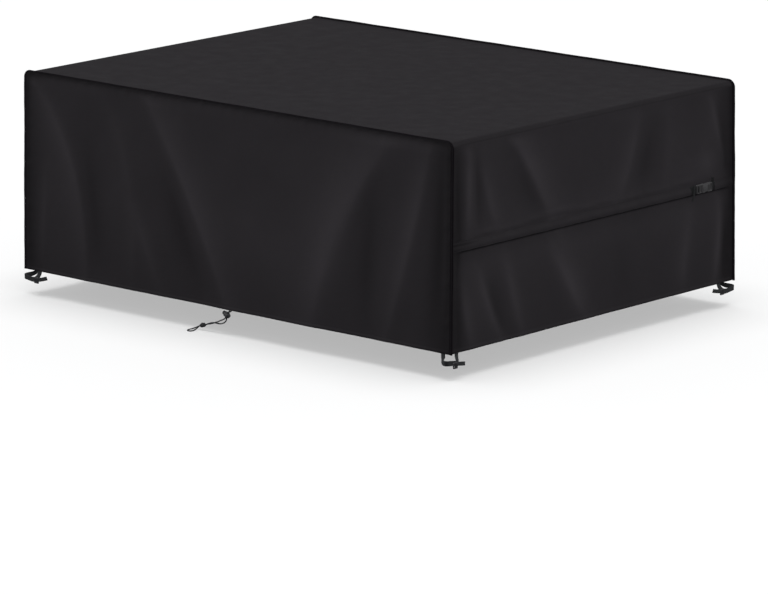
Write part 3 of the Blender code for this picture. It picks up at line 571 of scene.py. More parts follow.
def build_top_and_ends(material):
    """The top and both short ends are one length of cloth."""
    fractions = graded(-1.0, 1.0, 0.0060, 0.0145, 0.10)
    left, right = (end_grids(*end, fractions) for end in ENDS)
    crown = LENGTH / 2 - FOLD_RADIUS
    y = fractions * end_half_width(0.0)
    x = np.linspace(-crown, crown, TOP_ROWS)[:, None]
    angles = fold_angles(FOLD_STEPS)[1:-1, None]
    faces = []
    for number, depth in enumerate((0.0, CLOTH)):
        radius = FOLD_RADIUS - depth
        out, up = crown + radius * np.cos(angles), TOP - FOLD_RADIUS + radius * np.sin(angles)
        faces.append(np.concatenate([left[number][::-1], combine(-out, y, up)[::-1],
                                     combine(x, y, TOP + top_relief(x, y) - depth),
                                     combine(out, y, up), right[number]]))
    outer, inner = faces
    # Painted shade over the whole top; the ends keep their own painted highlight and shade
    painted_shading = np.full(outer.shape[:2], TOP_PAINTED_SHADE)
    painted_shading[:len(left[2])] = left[2][::-1]
    painted_shading[-len(right[2]):] = right[2]
    run = run_along(outer[:, len(fractions) // 2])
    uv = combine(outer[:, :, 1], run[:, None])
    return sheet_object("cover_top_and_ends", outer, inner, uv, painted_shading, material)


def build_long_side(name, side, creases, seed, fine, material):
    """A long side: its outline is the arch of the top and ends, which it closes."""
    angles = fold_angles(FOLD_STEPS)[:-1]
    drops = graded(FOLD_RADIUS - TOP, DROP, 0.0026, fine, 0.06)
    half = np.concatenate([LENGTH / 2 - FOLD_RADIUS + FOLD_RADIUS * np.cos(angles), end_plane(drops)])[:, None]
    drop = np.concatenate([FOLD_RADIUS - TOP - FOLD_RADIUS * np.sin(angles), drops])[:, None]
    x = graded(-1.0, 1.0, 0.0030, fine * 1.02, 0.04) * half
    out = side_face(x + LENGTH / 2, drop, creases, seed)
    outer, inner = combine(x, side * out, -drop), combine(x, side * (out - thickness(drop)), -drop)
    painted_shading = crease_light_and_shade(x + LENGTH / 2, drop, LENGTH, creases, True)
    return sheet_object(name, outer, inner, combine(x, -drop), painted_shading, material)


# ---------------------------------------------------------------- materials

def fill(tree, node, values):
    """Set a node's inputs, or link them to other nodes' outputs."""
    for name, value in values.items():
        named = isinstance(name, str)
        socket = next(s for s in node.inputs if s.name == name and s.enabled) if named else node.inputs[name]
        if isinstance(value, bpy.types.NodeSocket):
            tree.links.new(value, socket)
        else:
            socket.default_value = value


def add_node(tree, kind, values=None, **settings):
    node = tree.nodes.new(kind)
    for key, value in settings.items():
        setattr(node, key, value)
    fill(tree, node, values or {})
    return node


def rgba(value):
    return value if isinstance(value, bpy.types.NodeSocket) else (*value, 1.0)


class Graph:
    """A short way to add nodes to a material."""

    def __init__(self, name):
        self.material = bpy.data.materials.new(name)
        self.material.use_nodes = True
        self.tree = self.material.node_tree
        place = self.add("ShaderNodeTexCoord")
        self.uv, self.where = place.outputs["UV"], place.outputs["Object"]

    def add(self, kind, values=None, **settings):
        return add_node(self.tree, kind, values, **settings)

    def math(self, operation, a, b=0.0):
        return self.add("ShaderNodeMath", {0: a, 1: b}, operation=operation).outputs[0]

    def mix(self, factor, a, b, blend="MIX"):
        values = {"Factor": factor, "A": rgba(a), "B": rgba(b)}
        node = self.add("ShaderNodeMix", values, data_type="RGBA", blend_type=blend)
        return next(s for s in node.outputs if s.enabled)

    def noise(self, scale, detail=2.0, roughness=0.5):
        return self.add("ShaderNodeTexNoise", {"Vector": self.where, "Scale": scale, "Detail": detail,
                                               "Roughness": roughness}).outputs["Fac"]

    def bands(self, vector, direction, scale, **more):
        values = {"Vector": vector, "Scale": scale, **more}
        return self.add("ShaderNodeTexWave", values, bands_direction=direction).outputs["Fac"]

    def bump(self, height, strength, distance, **more):
        return self.add("ShaderNodeBump", {"Height": height, "Strength": strength, "Distance": distance,
                                           **more}).outputs[0]

    def spread(self, value, low, high):
        """A noise value stretched from low to high."""
        return self.add("ShaderNodeMapRange", {"Value": value, "From Min": 0.3, "From Max": 0.7,
                                               "To Min": low, "To Max": high}).outputs[0]

    def tinted(self, colour, value, amount):
        """The colour, lighter and darker by the amount as a noise value says."""
        dark, light = (tuple(c * share for c in colour) for share in (1 - amount, 1 + amount))
        return self.mix(self.spread(value, 0.0, 1.0), dark, light)

    def toned(self, colour, factor, low, high):
        """The colour times a grey from low to high as the factor says."""
        return self.mix(1.0, colour, self.mix(factor, (low,) * 3, (high,) * 3), "MULTIPLY")

    def finish(self, colour, roughness, specular, **more):
        fill(self.tree, self.tree.nodes["Principled BSDF"],
             {"Base Color": rgba(colour), "Roughness": roughness, "Specular IOR Level": specular, **more})
        return self.material


def cloth_material():
    """Coated oxford cloth: paired yarns and faint mottling, with painted highlights on crease ridges and painted
    shade in hollows, beside corners and seams, under the casing, towards the hem and over the top.
    """
    graph = Graph("oxford_cloth")
    pitch = sizes().weave_pitch
    split = graph.add("ShaderNodeSeparateXYZ", {0: graph.uv})
    turns = (graph.math("MULTIPLY", split.outputs[k], math.tau / pitch) for k in range(2))
    across, down = (graph.math("ABSOLUTE", graph.math("SINE", turn)) for turn in turns)
    passing = graph.add("ShaderNodeTexChecker", {"Vector": graph.uv, "Scale": 2.0 / pitch}).outputs["Fac"]
    over = graph.math("MULTIPLY", across, passing)
    under = graph.math("MULTIPLY", down, graph.math("SUBTRACT", 1.0, passing))
    weave = graph.bump(graph.math("ADD", over, under), 0.35, 0.00016)
    dents = graph.bump(graph.noise(26.0, 3.0, 0.55), 0.16, 0.004, Normal=weave)
    stretched = graph.add("ShaderNodeMapping", {"Vector": graph.uv, "Scale": (30.0, 900.0, 1.0)}).outputs[0]
    slub = graph.add("ShaderNodeTexNoise", {"Vector": stretched, "Scale": 1.0}).outputs["Fac"]
    painted_shading = graph.add("ShaderNodeAttribute", attribute_name="painted_shading").outputs["Fac"]
    painted_lightness = graph.add("ShaderNodeMapRange", {"Value": painted_shading, "From Min": -1.0, "From Max": 1.0}).outputs[0]
    colour = graph.tinted(colours().cloth, graph.noise(7.0, 4.0, 0.6), 0.03)
    # Painted highlight and shade: the stored attribute lightens crease ridges and darkens hollows, corners, seams,
    # the hem, the casing and the top
    colour = graph.toned(colour, painted_lightness, 0.52, 1.48)
    colour = graph.toned(colour, graph.spread(slub, 0.0, 0.16), 1.0, 0.6)
    return graph.finish(colour, graph.spread(graph.noise(16.0, 3.0), 0.52, 0.64), 0.02, Normal=dents)


def tape_material():
    """Folded binding tape with fine cross ribs."""
    graph = Graph("binding_tape")
    ribs = graph.bands(graph.uv, "X", 170.0, Distortion=0.4, Detail=1.0)
    colour = graph.tinted(colours().tape, graph.noise(30.0, 3.0), 0.15)
    return graph.finish(colour, graph.spread(graph.noise(60.0), 0.60, 0.74), 0.03,
                        Normal=graph.bump(ribs, 0.4, 0.0002))


def webbing_material(name, colour):
    """Narrow woven webbing: cross ribs broken by two rows of warp."""
    graph = Graph(name)
    ribs = graph.bands(graph.uv, "X", 95.0, Distortion=0.6, Detail=1.0)
    warp = graph.bands(graph.uv, "Y", 140.0)
    height = graph.math("MULTIPLY", ribs, graph.math("ADD", warp, 0.6))
    # Painted highlight and shade: the webbing is painted lighter on its rib crests and darker between them
    tone = graph.mix(graph.math("MULTIPLY", height, 0.4), colour, tuple(c * 1.9 for c in colour))
    tone = graph.toned(tone, graph.spread(graph.noise(80.0, 3.0), 0.0, 1.0), 0.82, 1.12)
    return graph.finish(tone, graph.spread(graph.noise(120.0), 0.56, 0.74), 0.10,
                        Normal=graph.bump(height, 0.7, 0.0004))


def plastic_material(name, colour, roughness, specular):
    """Moulded plastic with a fine spark-eroded grain and rubbed patches."""
    graph = Graph(name)
    grain = graph.bump(graph.noise(2600.0, 2.0, 0.6), 0.25, 0.00012)
    tone = graph.tinted(colour, graph.noise(190.0, 4.0, 0.6), 0.14)
    gloss = graph.spread(graph.noise(330.0, 3.0), roughness - 0.07, roughness + 0.09)
    return graph.finish(tone, gloss, specular, Normal=grain)


def cord_material():
    """Braided cord: two sets of yarns that cross as they wind round."""
    graph = Graph("braided_cord")
    split = graph.add("ShaderNodeSeparateXYZ", {0: graph.uv})
    along = graph.math("MULTIPLY", split.outputs[0], math.tau * 300.0)
    around = graph.math("MULTIPLY", split.outputs[1], math.tau * 6.0)
    right, left = (graph.math("ABSOLUTE", graph.math("SINE", graph.math(way, along, around)))
                   for way in ("ADD", "SUBTRACT"))
    height = graph.math("MULTIPLY", right, left)
    # Painted highlight and shade: the cord is painted lighter on its yarns' crests and darker in the grooves
    # between them
    tone = graph.mix(height, *(tuple(c * share for c in colours().cord) for share in (0.55, 1.7)))
    tone = graph.toned(tone, graph.spread(graph.noise(150.0, 3.0), 0.0, 1.0), 0.85, 1.1)
    return graph.finish(tone, graph.spread(graph.noise(300.0), 0.55, 0.72), 0.25,
                        Normal=graph.bump(height, 0.8, 0.0005))


def thread_material():
    graph = Graph("sewing_thread")
    twist = graph.bump(graph.bands(graph.where, "DIAGONAL", 900.0, Distortion=1.0), 0.4, 0.0002)
    return graph.finish(graph.tinted(colours().thread, graph.noise(40.0, 3.0), 0.25), 0.55, 0.05, Normal=twist)


# ---------------------------------------------------------------- bindings

BINDING_STAND = 0.0115
BINDING_LAID = 0.60
BINDING_STEP = 0.0075
BINDING_TURN_STEPS = 10
BINDING_STITCH_OUT = 0.0054
BINDING_STITCHES_OVER = (0.0012, -0.0029)
# The folded tape of the bound seam: out from the outline, out from the long side's face
BINDING_SECTION = (
    (0.0002, -0.0026), (0.0018, -0.0026), (0.0020, -0.0033), (0.0044, -0.0032), (0.0054, -0.0028),
    (0.0064, -0.0032), (0.0092, -0.0034), (0.0104, -0.0029), (0.0112, -0.0020), (0.0115, -0.0009),
    (0.0112, 0.0003), (0.0104, 0.0011), (0.0092, 0.0016), (0.0064, 0.0015), (0.0054, 0.0011),
    (0.0044, 0.0015), (0.0020, 0.0016), (0.0018, 0.0009), (0.0002, 0.0009),
)


def binding_path():
    """Stations of a bound seam up one corner, along the top and down the other: x, z, normal x, normal z."""
    crown = LENGTH / 2 - FOLD_RADIUS
    turn = fold_angles(BINDING_TURN_STEPS)[::-1]
    arch = combine(crown + FOLD_RADIUS * np.cos(turn), TOP - FOLD_RADIUS + FOLD_RADIUS * np.sin(turn),
                   np.cos(turn), np.sin(turn))
    rise = int((DROP - FOLD_RADIUS) / BINDING_STEP)
    share = np.arange(rise) / rise
    up = combine(end_plane(DROP * (1 - share) + FOLD_RADIUS * share),
                 -(DROP * (1 - share) + (FOLD_RADIUS - TOP) * share), 1.0, 0.0)
    half = np.concatenate([up, arch])
    count = int(2 * crown / BINDING_STEP)
    flat = combine(crown - 2 * crown * np.arange(1, count) / count, TOP, 0.0, 1.0)
    return np.concatenate([half, flat, half[::-1] * (-1, 1, -1, 1)])


def binding_sway(run, seed):
    """The seam leans a little to either side along its length."""
    return (0.0006 * np.sin(math.tau * run / 0.43 + seed) + 0.0003 * np.sin(math.tau * run / 0.171 + 2.0 * seed)
            + 0.0002 * np.sin(math.tau * run / 0.062 + 3.1 * seed))


def binding_places(path, side, out, over, seed):
    """Points beside the stations: out along the outline's normal and over from the long side's face."""
    run = run_along(path[:, :2])
    x, z, nx, nz = path.T
    stand = out * (1.0 + 0.03 * np.sin(math.tau * run / 0.23 + 1.3 * seed) * (out > 0.002))
    stand = stand * (1.0 - (1.0 - BINDING_LAID) * nz)
    y = side * (side_plane(-z) + over + binding_sway(run, seed) * out / BINDING_STAND)
    return combine(x + nx * stand, y, z + nz * stand)


def build_binding(name, side, seed, material):
    path = binding_path()
    rings = [binding_places(path, side, out, over, seed) for out, over in BINDING_SECTION]
    return swept_object(name, np.stack(rings, axis=1), material, 60.0, run_along(path[:, :2]))


# ---------------------------------------------------------------- belt and its buckle

CASING_DOME = 0.0040
CASING_FLUSH = 0.0005
CASING_RIM = 0.0006      # the edge is rolled within this
CASING_STITCH = 0.0146   # stitch lines, above and below the middle


def belt_face(y):
    """The outer face of the +X end under the belt."""
    return end_face(y + WIDTH / 2, np.full(y.shape, BELT_DROP), *ENDS[1][1:])


def casing_out(y, up):
    """How far the casing stands out at a height above its middle: full below and flush above."""
    fullness = 1.0 + 0.12 * np.sin(y * 41.0 + 0.6) + 0.08 * np.sin(y * 97.0 + 2.0) + 0.05 * np.sin(y * 23.0)
    lower = smooth_step(CASING_HALF - up, 0.002, 0.026)
    corner = smooth_step(-y, 0.60, 0.70) * smooth_step(up, 0.0, 0.010)
    return CASING_FLUSH + CASING_DOME * (fullness * lower + 0.8 * corner)


def build_casing(name, y_from, y_to, material):
    """The sewn channel that the belt runs in."""
    y = np.linspace(y_from, y_to, max(int((y_to - y_from) / 0.005), 8) + 1)
    face = belt_face(y)
    flat = CASING_HALF - CASING_RIM
    rings = []
    for up in (-CASING_HALF, *np.linspace(-flat, flat, 25), CASING_HALF):
        edge = min((CASING_HALF - abs(up)) / CASING_RIM, 1.0)
        wander = 0.0005 * np.sin(y * 61.0 + (1.0 if up > 0 else 2.5)) + 0.0003 * np.sin(y * 143.0)
        stitch = 0.0007 * math.exp(-(((abs(up) - CASING_STITCH) / 0.0011) ** 2))
        out = casing_out(y, up) * (0.35 + 0.65 * edge) - stitch
        rings.append(combine(face + out, y, -BELT_DROP + up + wander * (up / CASING_HALF) ** 2))
    for up in (CASING_HALF * 0.98, -CASING_HALF * 0.98):
        rings.append(combine(face - 0.0004, y, -BELT_DROP + up))
    sections = np.stack(rings, axis=1)
    casing = swept_object(name, sections, material, 60.0, run_along(sections.mean(axis=1)))
    # Painted shade over the casing, darker still beside the corners
    painted_shading = CASING_PAINTED_SHADE - corner_painted_shade(end_half_width(BELT_DROP) - np.abs(y))
    store_painted_shading(casing.data, np.repeat(painted_shading, len(rings)))
    return casing


def webbing_ring(width, thick):
    """Section of webbing, its long edges rounded: (across, out)."""
    half, edge = width / 2, thick / 2
    ring = [(-half + edge, -edge), (half - edge, -edge), (half - edge * 0.3, -edge * 0.6), (half, 0.0),
            (half - edge * 0.3, edge * 0.6), (half - edge, edge)]
    middle = [(half - edge - (width - 2 * edge) * k / 6, edge) for k in range(1, 6)]
    return ring + middle + [(-half + edge, edge), (-half + edge * 0.3, edge * 0.6), (-half, 0.0),
                            (-half + edge * 0.3, -edge * 0.6)]


def ribbon(name, route, faces, width, thick, material, spacing=0.002, place=Matrix(), last=1.0):
    """Webbing along a route.  faces: the way its flat side looks at each point.  last: its width at the end."""
    line = smooth_route(route, spacing)
    key, run = run_along(np.array(route, float)), run_along(line)
    share = run / run[-1] * key[-1]
    face = np.stack([np.interp(share, key, [f[k] for f in faces]) for k in range(3)], axis=-1)
    tangent = unit_rows(np.gradient(line, axis=0))
    face = unit_rows(face - tangent * (face * tangent).sum(axis=1)[:, None])
    across = np.cross(tangent, face)
    taper = np.interp(run / run[-1], [0.94, 1.0], [1.0, last])[:, None]
    sections = np.stack([line + across * a * taper + face * o for a, o in webbing_ring(width, thick)], axis=1)
    matrix = np.array(place)
    return swept_object(name, sections @ matrix[:3, :3].T + matrix[:3, 3], material, 50.0, run)


def rounded(corners):
    """A closed outline from rows of (x, y, radius of the corner)."""
    points = []
    for k, (x, y, radius) in enumerate(corners):
        here = Vector((x, y))
        if radius <= 0.0:
            points.append(here)
            continue
        before = (Vector(corners[k - 1][:2]) - here).normalized()
        after = (Vector(corners[(k + 1) % len(corners)][:2]) - here).normalized()
        half = before.angle(after) / 2
        back = radius / math.tan(half)
        middle = here + (before + after).normalized() * radius / math.sin(half)
        start, stop = here + before * back - middle, here + after * back - middle
        turn = start.angle_signed(stop)
        points += [middle + Matrix.Rotation(-turn * n / 5, 2) @ start for n in range(6)]
    return points


def bar(x0, x1, y0, y1, radius):
    return rounded(((x0, y0, radius), (x1, y0, radius), (x1, y1, radius), (x0, y1, radius)))


def plate(outline, holes, low, high, bevel):
    """A moulded plate of an outline with holes, from one height to another, with rounded edges, as a mesh."""
    curve = bpy.data.curves.new("plate", "CURVE")
    curve.dimensions = "2D"
    curve.fill_mode = "BOTH"
    curve.extrude = (high - low) / 2 - bevel
    curve.bevel_depth = bevel
    curve.bevel_resolution = 2
    curve.offset = -bevel
    for loop in (outline, *holes):
        spline = curve.splines.new("POLY")
        spline.points.add(len(loop) - 1)
        for target, point in zip(spline.points, loop):
            target.co = (point[0], point[1], 0.0, 1.0)
        spline.use_cyclic_u = True
    obj = link("plate", curve)
    mesh = finished_mesh(obj)
    bpy.data.objects.remove(obj)
    mesh.transform(Matrix.Translation((0.0, 0.0, (low + high) / 2)))
    return mesh


def block(x0, x1, y0, y1, radius, low, high, bevel, holes=()):
    """A plate with a rounded rectangle for its outline."""
    return plate(bar(x0, x1, y0, y1, radius), holes, low, high, bevel)


def cleaned(name, bm):
    """A mesh of the working mesh, with its doubled points joined and its faces turned out."""
    bmesh.ops.remove_doubles(bm, verts=bm.verts, dist=1e-6)
    bmesh.ops.holes_fill(bm, edges=[e for e in bm.edges if e.is_boundary], sides=0)
    bmesh.ops.recalc_face_normals(bm, faces=bm.faces)
    mesh = bpy.data.meshes.new(name)
    bm.to_mesh(mesh)
    bm.free()
    return mesh


def joined(name, meshes, place, material):
    """Join meshes into one piece and set it in its place."""
    bm = bmesh.new()
    for mesh in meshes:
        bm.from_mesh(mesh)
        bpy.data.meshes.remove(mesh)
    mesh = cleaned(name, bm)
    mesh.transform(place)
    dress(mesh, material, 35.0)
    return link(name, mesh)


def belt_buckle_place():
    """Plates are drawn with their x along the belt, their y up and their z out of the cloth."""
    low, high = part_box("belt_buckle_socket")
    tongue_low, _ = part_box("belt_buckle_tongue")
    middle = Vector((low.x, (tongue_low.y + high.y) / 2, (low.z + high.z) / 2))
    return Matrix.Translation(middle) @ Matrix(((0, 0, 1, 0), (1, 0, 0, 0), (0, 1, 0, 0), (0, 0, 0, 1)))


# The socket's outline, its lower half from the mouth to the slot: x, y, radius
SOCKET_HALF = ((-0.0148, -0.0158, 0.0030), (-0.0010, -0.0158, 0.0018), (0.0015, -0.0125, 0.0018),
               (0.0130, -0.0125, 0.0018), (0.0155, -0.0158, 0.0018), (0.0405, -0.0158, 0.0040))
# A prong of the tongue, on the upper side: x, y, radius
PRONG = ((-0.0160, 0.0090, 0.0), (0.0010, 0.0090, 0.002), (0.0130, 0.0080, 0.002), (0.0150, 0.0115, 0.0015),
         (0.0125, 0.0153, 0.0020), (0.0010, 0.0158, 0.0025), (-0.0020, 0.0130, 0.002), (-0.0160, 0.0128, 0.0))


def build_belt_buckle(material):
    """A side-release buckle: the tongue's ladder frame and prongs, and the ribbed socket."""
    place = belt_buckle_place()
    windows = [bar(-0.0372, -0.0302, -0.0118, 0.0118, 0.0010), bar(-0.0262, -0.0190, -0.0118, 0.0118, 0.0010)]
    meshes = [block(-0.0405, -0.0155, -0.0158, 0.0158, 0.0030, 0.0018, 0.0078, 0.0010, windows),
              block(-0.0302, -0.0262, -0.0130, 0.0130, 0.0006, 0.0050, 0.0094, 0.0009),
              block(-0.0188, -0.0156, -0.0135, 0.0135, 0.0010, 0.0060, 0.0092, 0.0010)]
    for side in (-1, 1):
        prong = rounded([(x, y * side, radius) for x, y, radius in PRONG])
        meshes.append(plate(prong, [], 0.0034, 0.0066, 0.0008))
        for k in range(4):
            x = 0.0022 + 0.0026 * k
            low, high = sorted((0.0149 * side, 0.0162 * side))
            meshes.append(block(x, x + 0.0012, low, high, 0.0003, 0.0036, 0.0064, 0.0003))
    tongue = joined("belt_buckle_tongue_looks", meshes, place, material)
    body = rounded(SOCKET_HALF + tuple((x, -y, radius) for x, y, radius in reversed(SOCKET_HALF)))
    slot = bar(0.0300, 0.0368, -0.0120, 0.0120, 0.0012)
    pad = rounded(((-0.0110, -0.0090, 0.0050), (0.0120, -0.0076, 0.0040), (0.0120, 0.0076, 0.0040),
                   (-0.0110, 0.0090, 0.0050)))
    meshes = [plate(body, [slot], 0.0066, 0.0098, 0.0011), plate(body, [slot], 0.0002, 0.0034, 0.0011),
              block(-0.0140, 0.0290, -0.0084, 0.0084, 0.0010, 0.0030, 0.0070, 0.0004),
              block(0.0270, 0.0403, -0.0154, 0.0154, 0.0040, 0.0030, 0.0070, 0.0004, [slot]),
              plate(pad, [], 0.0090, 0.0106, 0.0007)]
    for k in range(4):
        x = 0.0160 + 0.0030 * k
        meshes.append(block(x, x + 0.0015, -0.0105, 0.0105, 0.0007, 0.0092, 0.0108, 0.0006))
    return tongue, joined("belt_buckle_socket_looks", meshes, place, material)


def build_belt(material):
    """The webbing that shows between the casing and the buckle, the free end and the folded end."""
    out = Vector((1, 0, 0))
    tongue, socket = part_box("belt_buckle_tongue")[0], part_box("belt_buckle_socket")[1]
    run = np.linspace(BUCKLE_Y - BUCKLE_BAY - 0.004, tongue.y + 0.013, 6)
    anchor_run = np.linspace(socket.y - 0.006, BUCKLE_Y + BUCKLE_BAY + 0.004, 6)
    pieces = []
    for name, y, lift in (
        ("belt_webbing", run, 0.0030 * smooth_step(run, tongue.y - 0.012, tongue.y + 0.004)),
        ("belt_anchor_webbing", anchor_run, 0.0026 * smooth_step(-anchor_run, -socket.y - 0.008, -socket.y)),
    ):
        route = combine(belt_face(y) + BELT_OFF + lift, y, -BELT_DROP)
        pieces.append(ribbon(name, route, [out] * len(y), BELT_WIDTH, BELT_THICK, material))
    loop = [(tongue.x + x, tongue.y + y, z) for x, y, z in (
        (0.0015, 0.0150, -0.350), (0.0062, 0.0140, -0.350), (0.0066, 0.0060, -0.350), (0.0020, 0.0010, -0.3502),
        (0.0012, -0.0060, -0.3506))]
    pieces.append(ribbon("belt_turn", loop, [out] * 5, BELT_WIDTH - 0.003, 0.0016, material, 0.0015))
    low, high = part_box("belt_tail")
    tail = [(high.x + x, high.y + y, z) for x, y, z in (
        (-0.0040, -0.0068, high.z + 0.0020), (-0.0026, -0.0085, -0.352), (-0.0014, -0.0125, -0.370),
        (-0.0026, -0.0178, low.z + 0.0015))]
    facing = ((1, 0.15, 0), (1, 0.25, 0), (1, 0.35, 0.1), (1, 0.3, 0.25))
    pieces.append(ribbon("belt_free_end", tail, facing, 0.0145, 0.0016, material, 0.0015, last=0.9))
    low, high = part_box("belt_folded_end")
    y = (low.y + high.y) / 2
    for k, shift in enumerate((-0.0009, 0.0009)):
        standing = ((low.x + 0.0045, y + shift, low.z + 0.001), (low.x + 0.0048, y + shift, -0.345),
                    (low.x + 0.0058, y + shift * 1.2 + 0.001, high.z - 0.0015))
        pieces.append(ribbon("belt_folded_end_%d" % (k + 1), standing, [(0.2, 1, 0)] * 3, 0.0100, 0.0014,
                             material, 0.0015))
    return pieces


# ---------------------------------------------------------------- corner straps

# A strap's middle line in its corner's frame: along the tail's side, across, below the hem
STRAP_ROUTE = (
    (0.0036, 0.0500, -0.034), (0.0036, 0.0500, -0.006), (0.0026, 0.0480, 0.008), (-0.0020, 0.0425, 0.018),
    (-0.0100, 0.0340, 0.024), (-0.0165, 0.0230, 0.0265), (-0.0195, 0.0110, 0.0275), (-0.0180, 0.0010, 0.0280),
    (-0.0130, -0.0050, 0.0282), (-0.0050, -0.0080, 0.0285), (0.0080, -0.0088, 0.0295), (0.0220, -0.0090, 0.0310),
    (0.0360, -0.0090, 0.0320), (0.0480, -0.0086, 0.0310), (0.0590, -0.0060, 0.0255), (0.0665, 0.0012, 0.0120),
    (0.0700, 0.0036, -0.006), (0.0700, 0.0036, -0.034),
)
# Its tail, from the buckle's place: along, across, share of the tail's fall
STRAP_TAIL_ROUTE = (
    (0.0050, -0.0134, -0.05), (0.0130, -0.0138, 0.0), (0.0260, -0.0142, 0.30), (0.0400, -0.0138, 0.68),
    (0.0480, -0.0128, 0.90), (0.0508, -0.0108, 1.0),
)
STRAP_TAIL_START = -0.004
STRAP_WIDTH, STRAP_THICK = 0.018, 0.0016
TAIL_WIDTH, TAIL_THICK = 0.014, 0.0019
CORNER_INSET = 0.0045    # from the hem's outer corner in to a strap's own frame
CORNERS = (
    # name, side x, side y, tail along X, share of the strap's reach along and across, its buckle's place along
    # and below, tail's end below the buckle's place
    ("near", 1, -1, False, 0.55, 0.60, 0.015, 0.0380, 0.0010),
    ("left", -1, -1, True, 0.82, 1.00, 0.054, 0.0325, -0.0155),
    ("right", 1, 1, False, 0.96, 1.00, 0.064, 0.0300, -0.0110),
    ("rear", -1, 1, True, 0.90, 1.00, 0.058, 0.0300, -0.0110),
)


def corner_frame(side_x, side_y, along_x):
    """A corner's own frame: along its tail's side, along the other side, and down."""
    corner = Vector((side_x * (LENGTH / 2 + END_FLARE - CORNER_INSET),
                     side_y * (WIDTH / 2 + SIDE_FLARE - CORNER_INSET), -DROP))
    inward_x, inward_y = Vector((-side_x, 0, 0)), Vector((0, -side_y, 0))
    along, across = (inward_x, inward_y) if along_x else (inward_y, inward_x)
    return Matrix.Translation(corner) @ Matrix((along, across, Vector((0, 0, -1)))).transposed().to_4x4()


def build_corner_strap(number, webbing, plastic):
    """A strap that hangs from the hem round a leg at one corner, its small ladder buckle and its free tail."""
    (corner, side_x, side_y, along_x, reach_along, reach_across, buckle_along, buckle_below,
     tail_end) = CORNERS[number]
    place = corner_frame(side_x, side_y, along_x)
    turns = math.pi / 2 * smooth_step(np.linspace(0.0, 1.0, len(STRAP_ROUTE)), 0.15, 0.85)
    faces = [(-math.cos(turn), -math.sin(turn), 0.0) for turn in turns]
    route = [(along * (reach_along if along > 0 else 1), across * (reach_across if across > 0 else 1), below)
             for along, across, below in STRAP_ROUTE]
    strap = ribbon(corner + "_strap_looks", route, faces, STRAP_WIDTH, STRAP_THICK, webbing, place=place)
    at_buckle = place @ Matrix.Translation((buckle_along, 0.0, buckle_below))
    sag = 0.0012 * math.sin(1.7 * number + 0.5)
    tail_route = [(along, across, STRAP_TAIL_START + (tail_end - STRAP_TAIL_START + sag) * share)
                  for along, across, share in STRAP_TAIL_ROUTE]
    tail_faces = [(0, -1, 0)] * 4 + [(0.35, -0.93, 0), (0.8, -0.6, 0)]
    tail = ribbon(corner + "_strap_tail_looks", tail_route, tail_faces, TAIL_WIDTH, TAIL_THICK, webbing,
                  place=at_buckle)
    windows = [bar(-0.0078, -0.0032, -0.0072, 0.0072, 0.0008), bar(-0.0004, 0.0024, -0.0072, 0.0072, 0.0008)]
    meshes = [block(-0.0109, 0.0109, -0.0108, 0.0108, 0.0028, 0.0114, 0.0154, 0.0010, windows),
              block(-0.0030, -0.0006, -0.0085, 0.0085, 0.0006, 0.0140, 0.0168, 0.0007)]
    for x in (0.0040, 0.0060, 0.0080):
        meshes.append(block(x, x + 0.0011, -0.0078, 0.0078, 0.0005, 0.0148, 0.0162, 0.0004))
    outwards = Matrix(((1, 0, 0, 0), (0, 0, -1, 0), (0, 1, 0, 0), (0, 0, 0, 1)))
    return strap, tail, joined(corner + "_strap_buckle_looks", meshes, at_buckle @ outwards, plastic)


# ---------------------------------------------------------------- drawcord and its lock

LOCK_CENTRE = Vector((-0.0165, -0.7600, -0.7287))
LOCK_AXIS = Vector((-0.90, 0.0, 0.436)).normalized()
LOCK_RUN = (-0.0105, -0.0040, 0.0040, 0.0105)
KNOT_CENTRE = Vector((-0.1290, -0.7620, -0.7815))
KNOT_AXIS = Vector((-0.95, 0.0, -0.31)).normalized()
KNOT_LENGTH = 0.022
KNOT_GAP = 0.0009
KNOT_LEAD = 0.007
CORD_APART = 0.0023
STRAND_A_ABOVE = ((0.0020, -0.7587, -0.7085), (0.0020, -0.7590, -0.7128), (-0.0030, -0.7606, -0.7160))
STRAND_B_ABOVE = ((-0.0060, -0.7580, -0.7085), (-0.0065, -0.7577, -0.7124), (-0.0085, -0.7577, -0.7160))
STRAND_A_BELOW = (
    (-0.0300, -0.7625, -0.7455), (-0.0450, -0.7628, -0.7525), (-0.0600, -0.7630, -0.7592),
    (-0.0760, -0.7632, -0.7655), (-0.0900, -0.7640, -0.7703), (-0.1040, -0.7645, -0.7733),
)
STRAND_B_BELOW = (
    (-0.0235, -0.7572, -0.7500), (-0.0330, -0.7570, -0.7590), (-0.0470, -0.7570, -0.7648),
    (-0.0620, -0.7572, -0.7664), (-0.0770, -0.7578, -0.7660), (-0.0920, -0.7588, -0.7682),
    (-0.1050, -0.7595, -0.7728),
)
END_LOOP = (
    (-0.1530, -0.7625, -0.7905), (-0.1640, -0.7700, -0.7960), (-0.1690, -0.7830, -0.7978),
    (-0.1680, -0.7960, -0.7980), (-0.1600, -0.8060, -0.7980), (-0.1500, -0.8055, -0.7980),
    (-0.1465, -0.7950, -0.7980), (-0.1480, -0.7820, -0.7970), (-0.1480, -0.7700, -0.7925),
)


def lock_frame():
    """The lock's own frame: Z along its plunger and X the way the cord runs down through it."""
    z = LOCK_AXIS
    y = Vector((0, -1, 0))
    return Matrix.Translation(LOCK_CENTRE) @ Matrix((y.cross(z), y, z)).transposed().to_4x4()


def knot_face(sign, offset):
    return KNOT_CENTRE + KNOT_AXIS * sign * (KNOT_LENGTH / 2 + KNOT_GAP) + Vector((0, offset, 0))


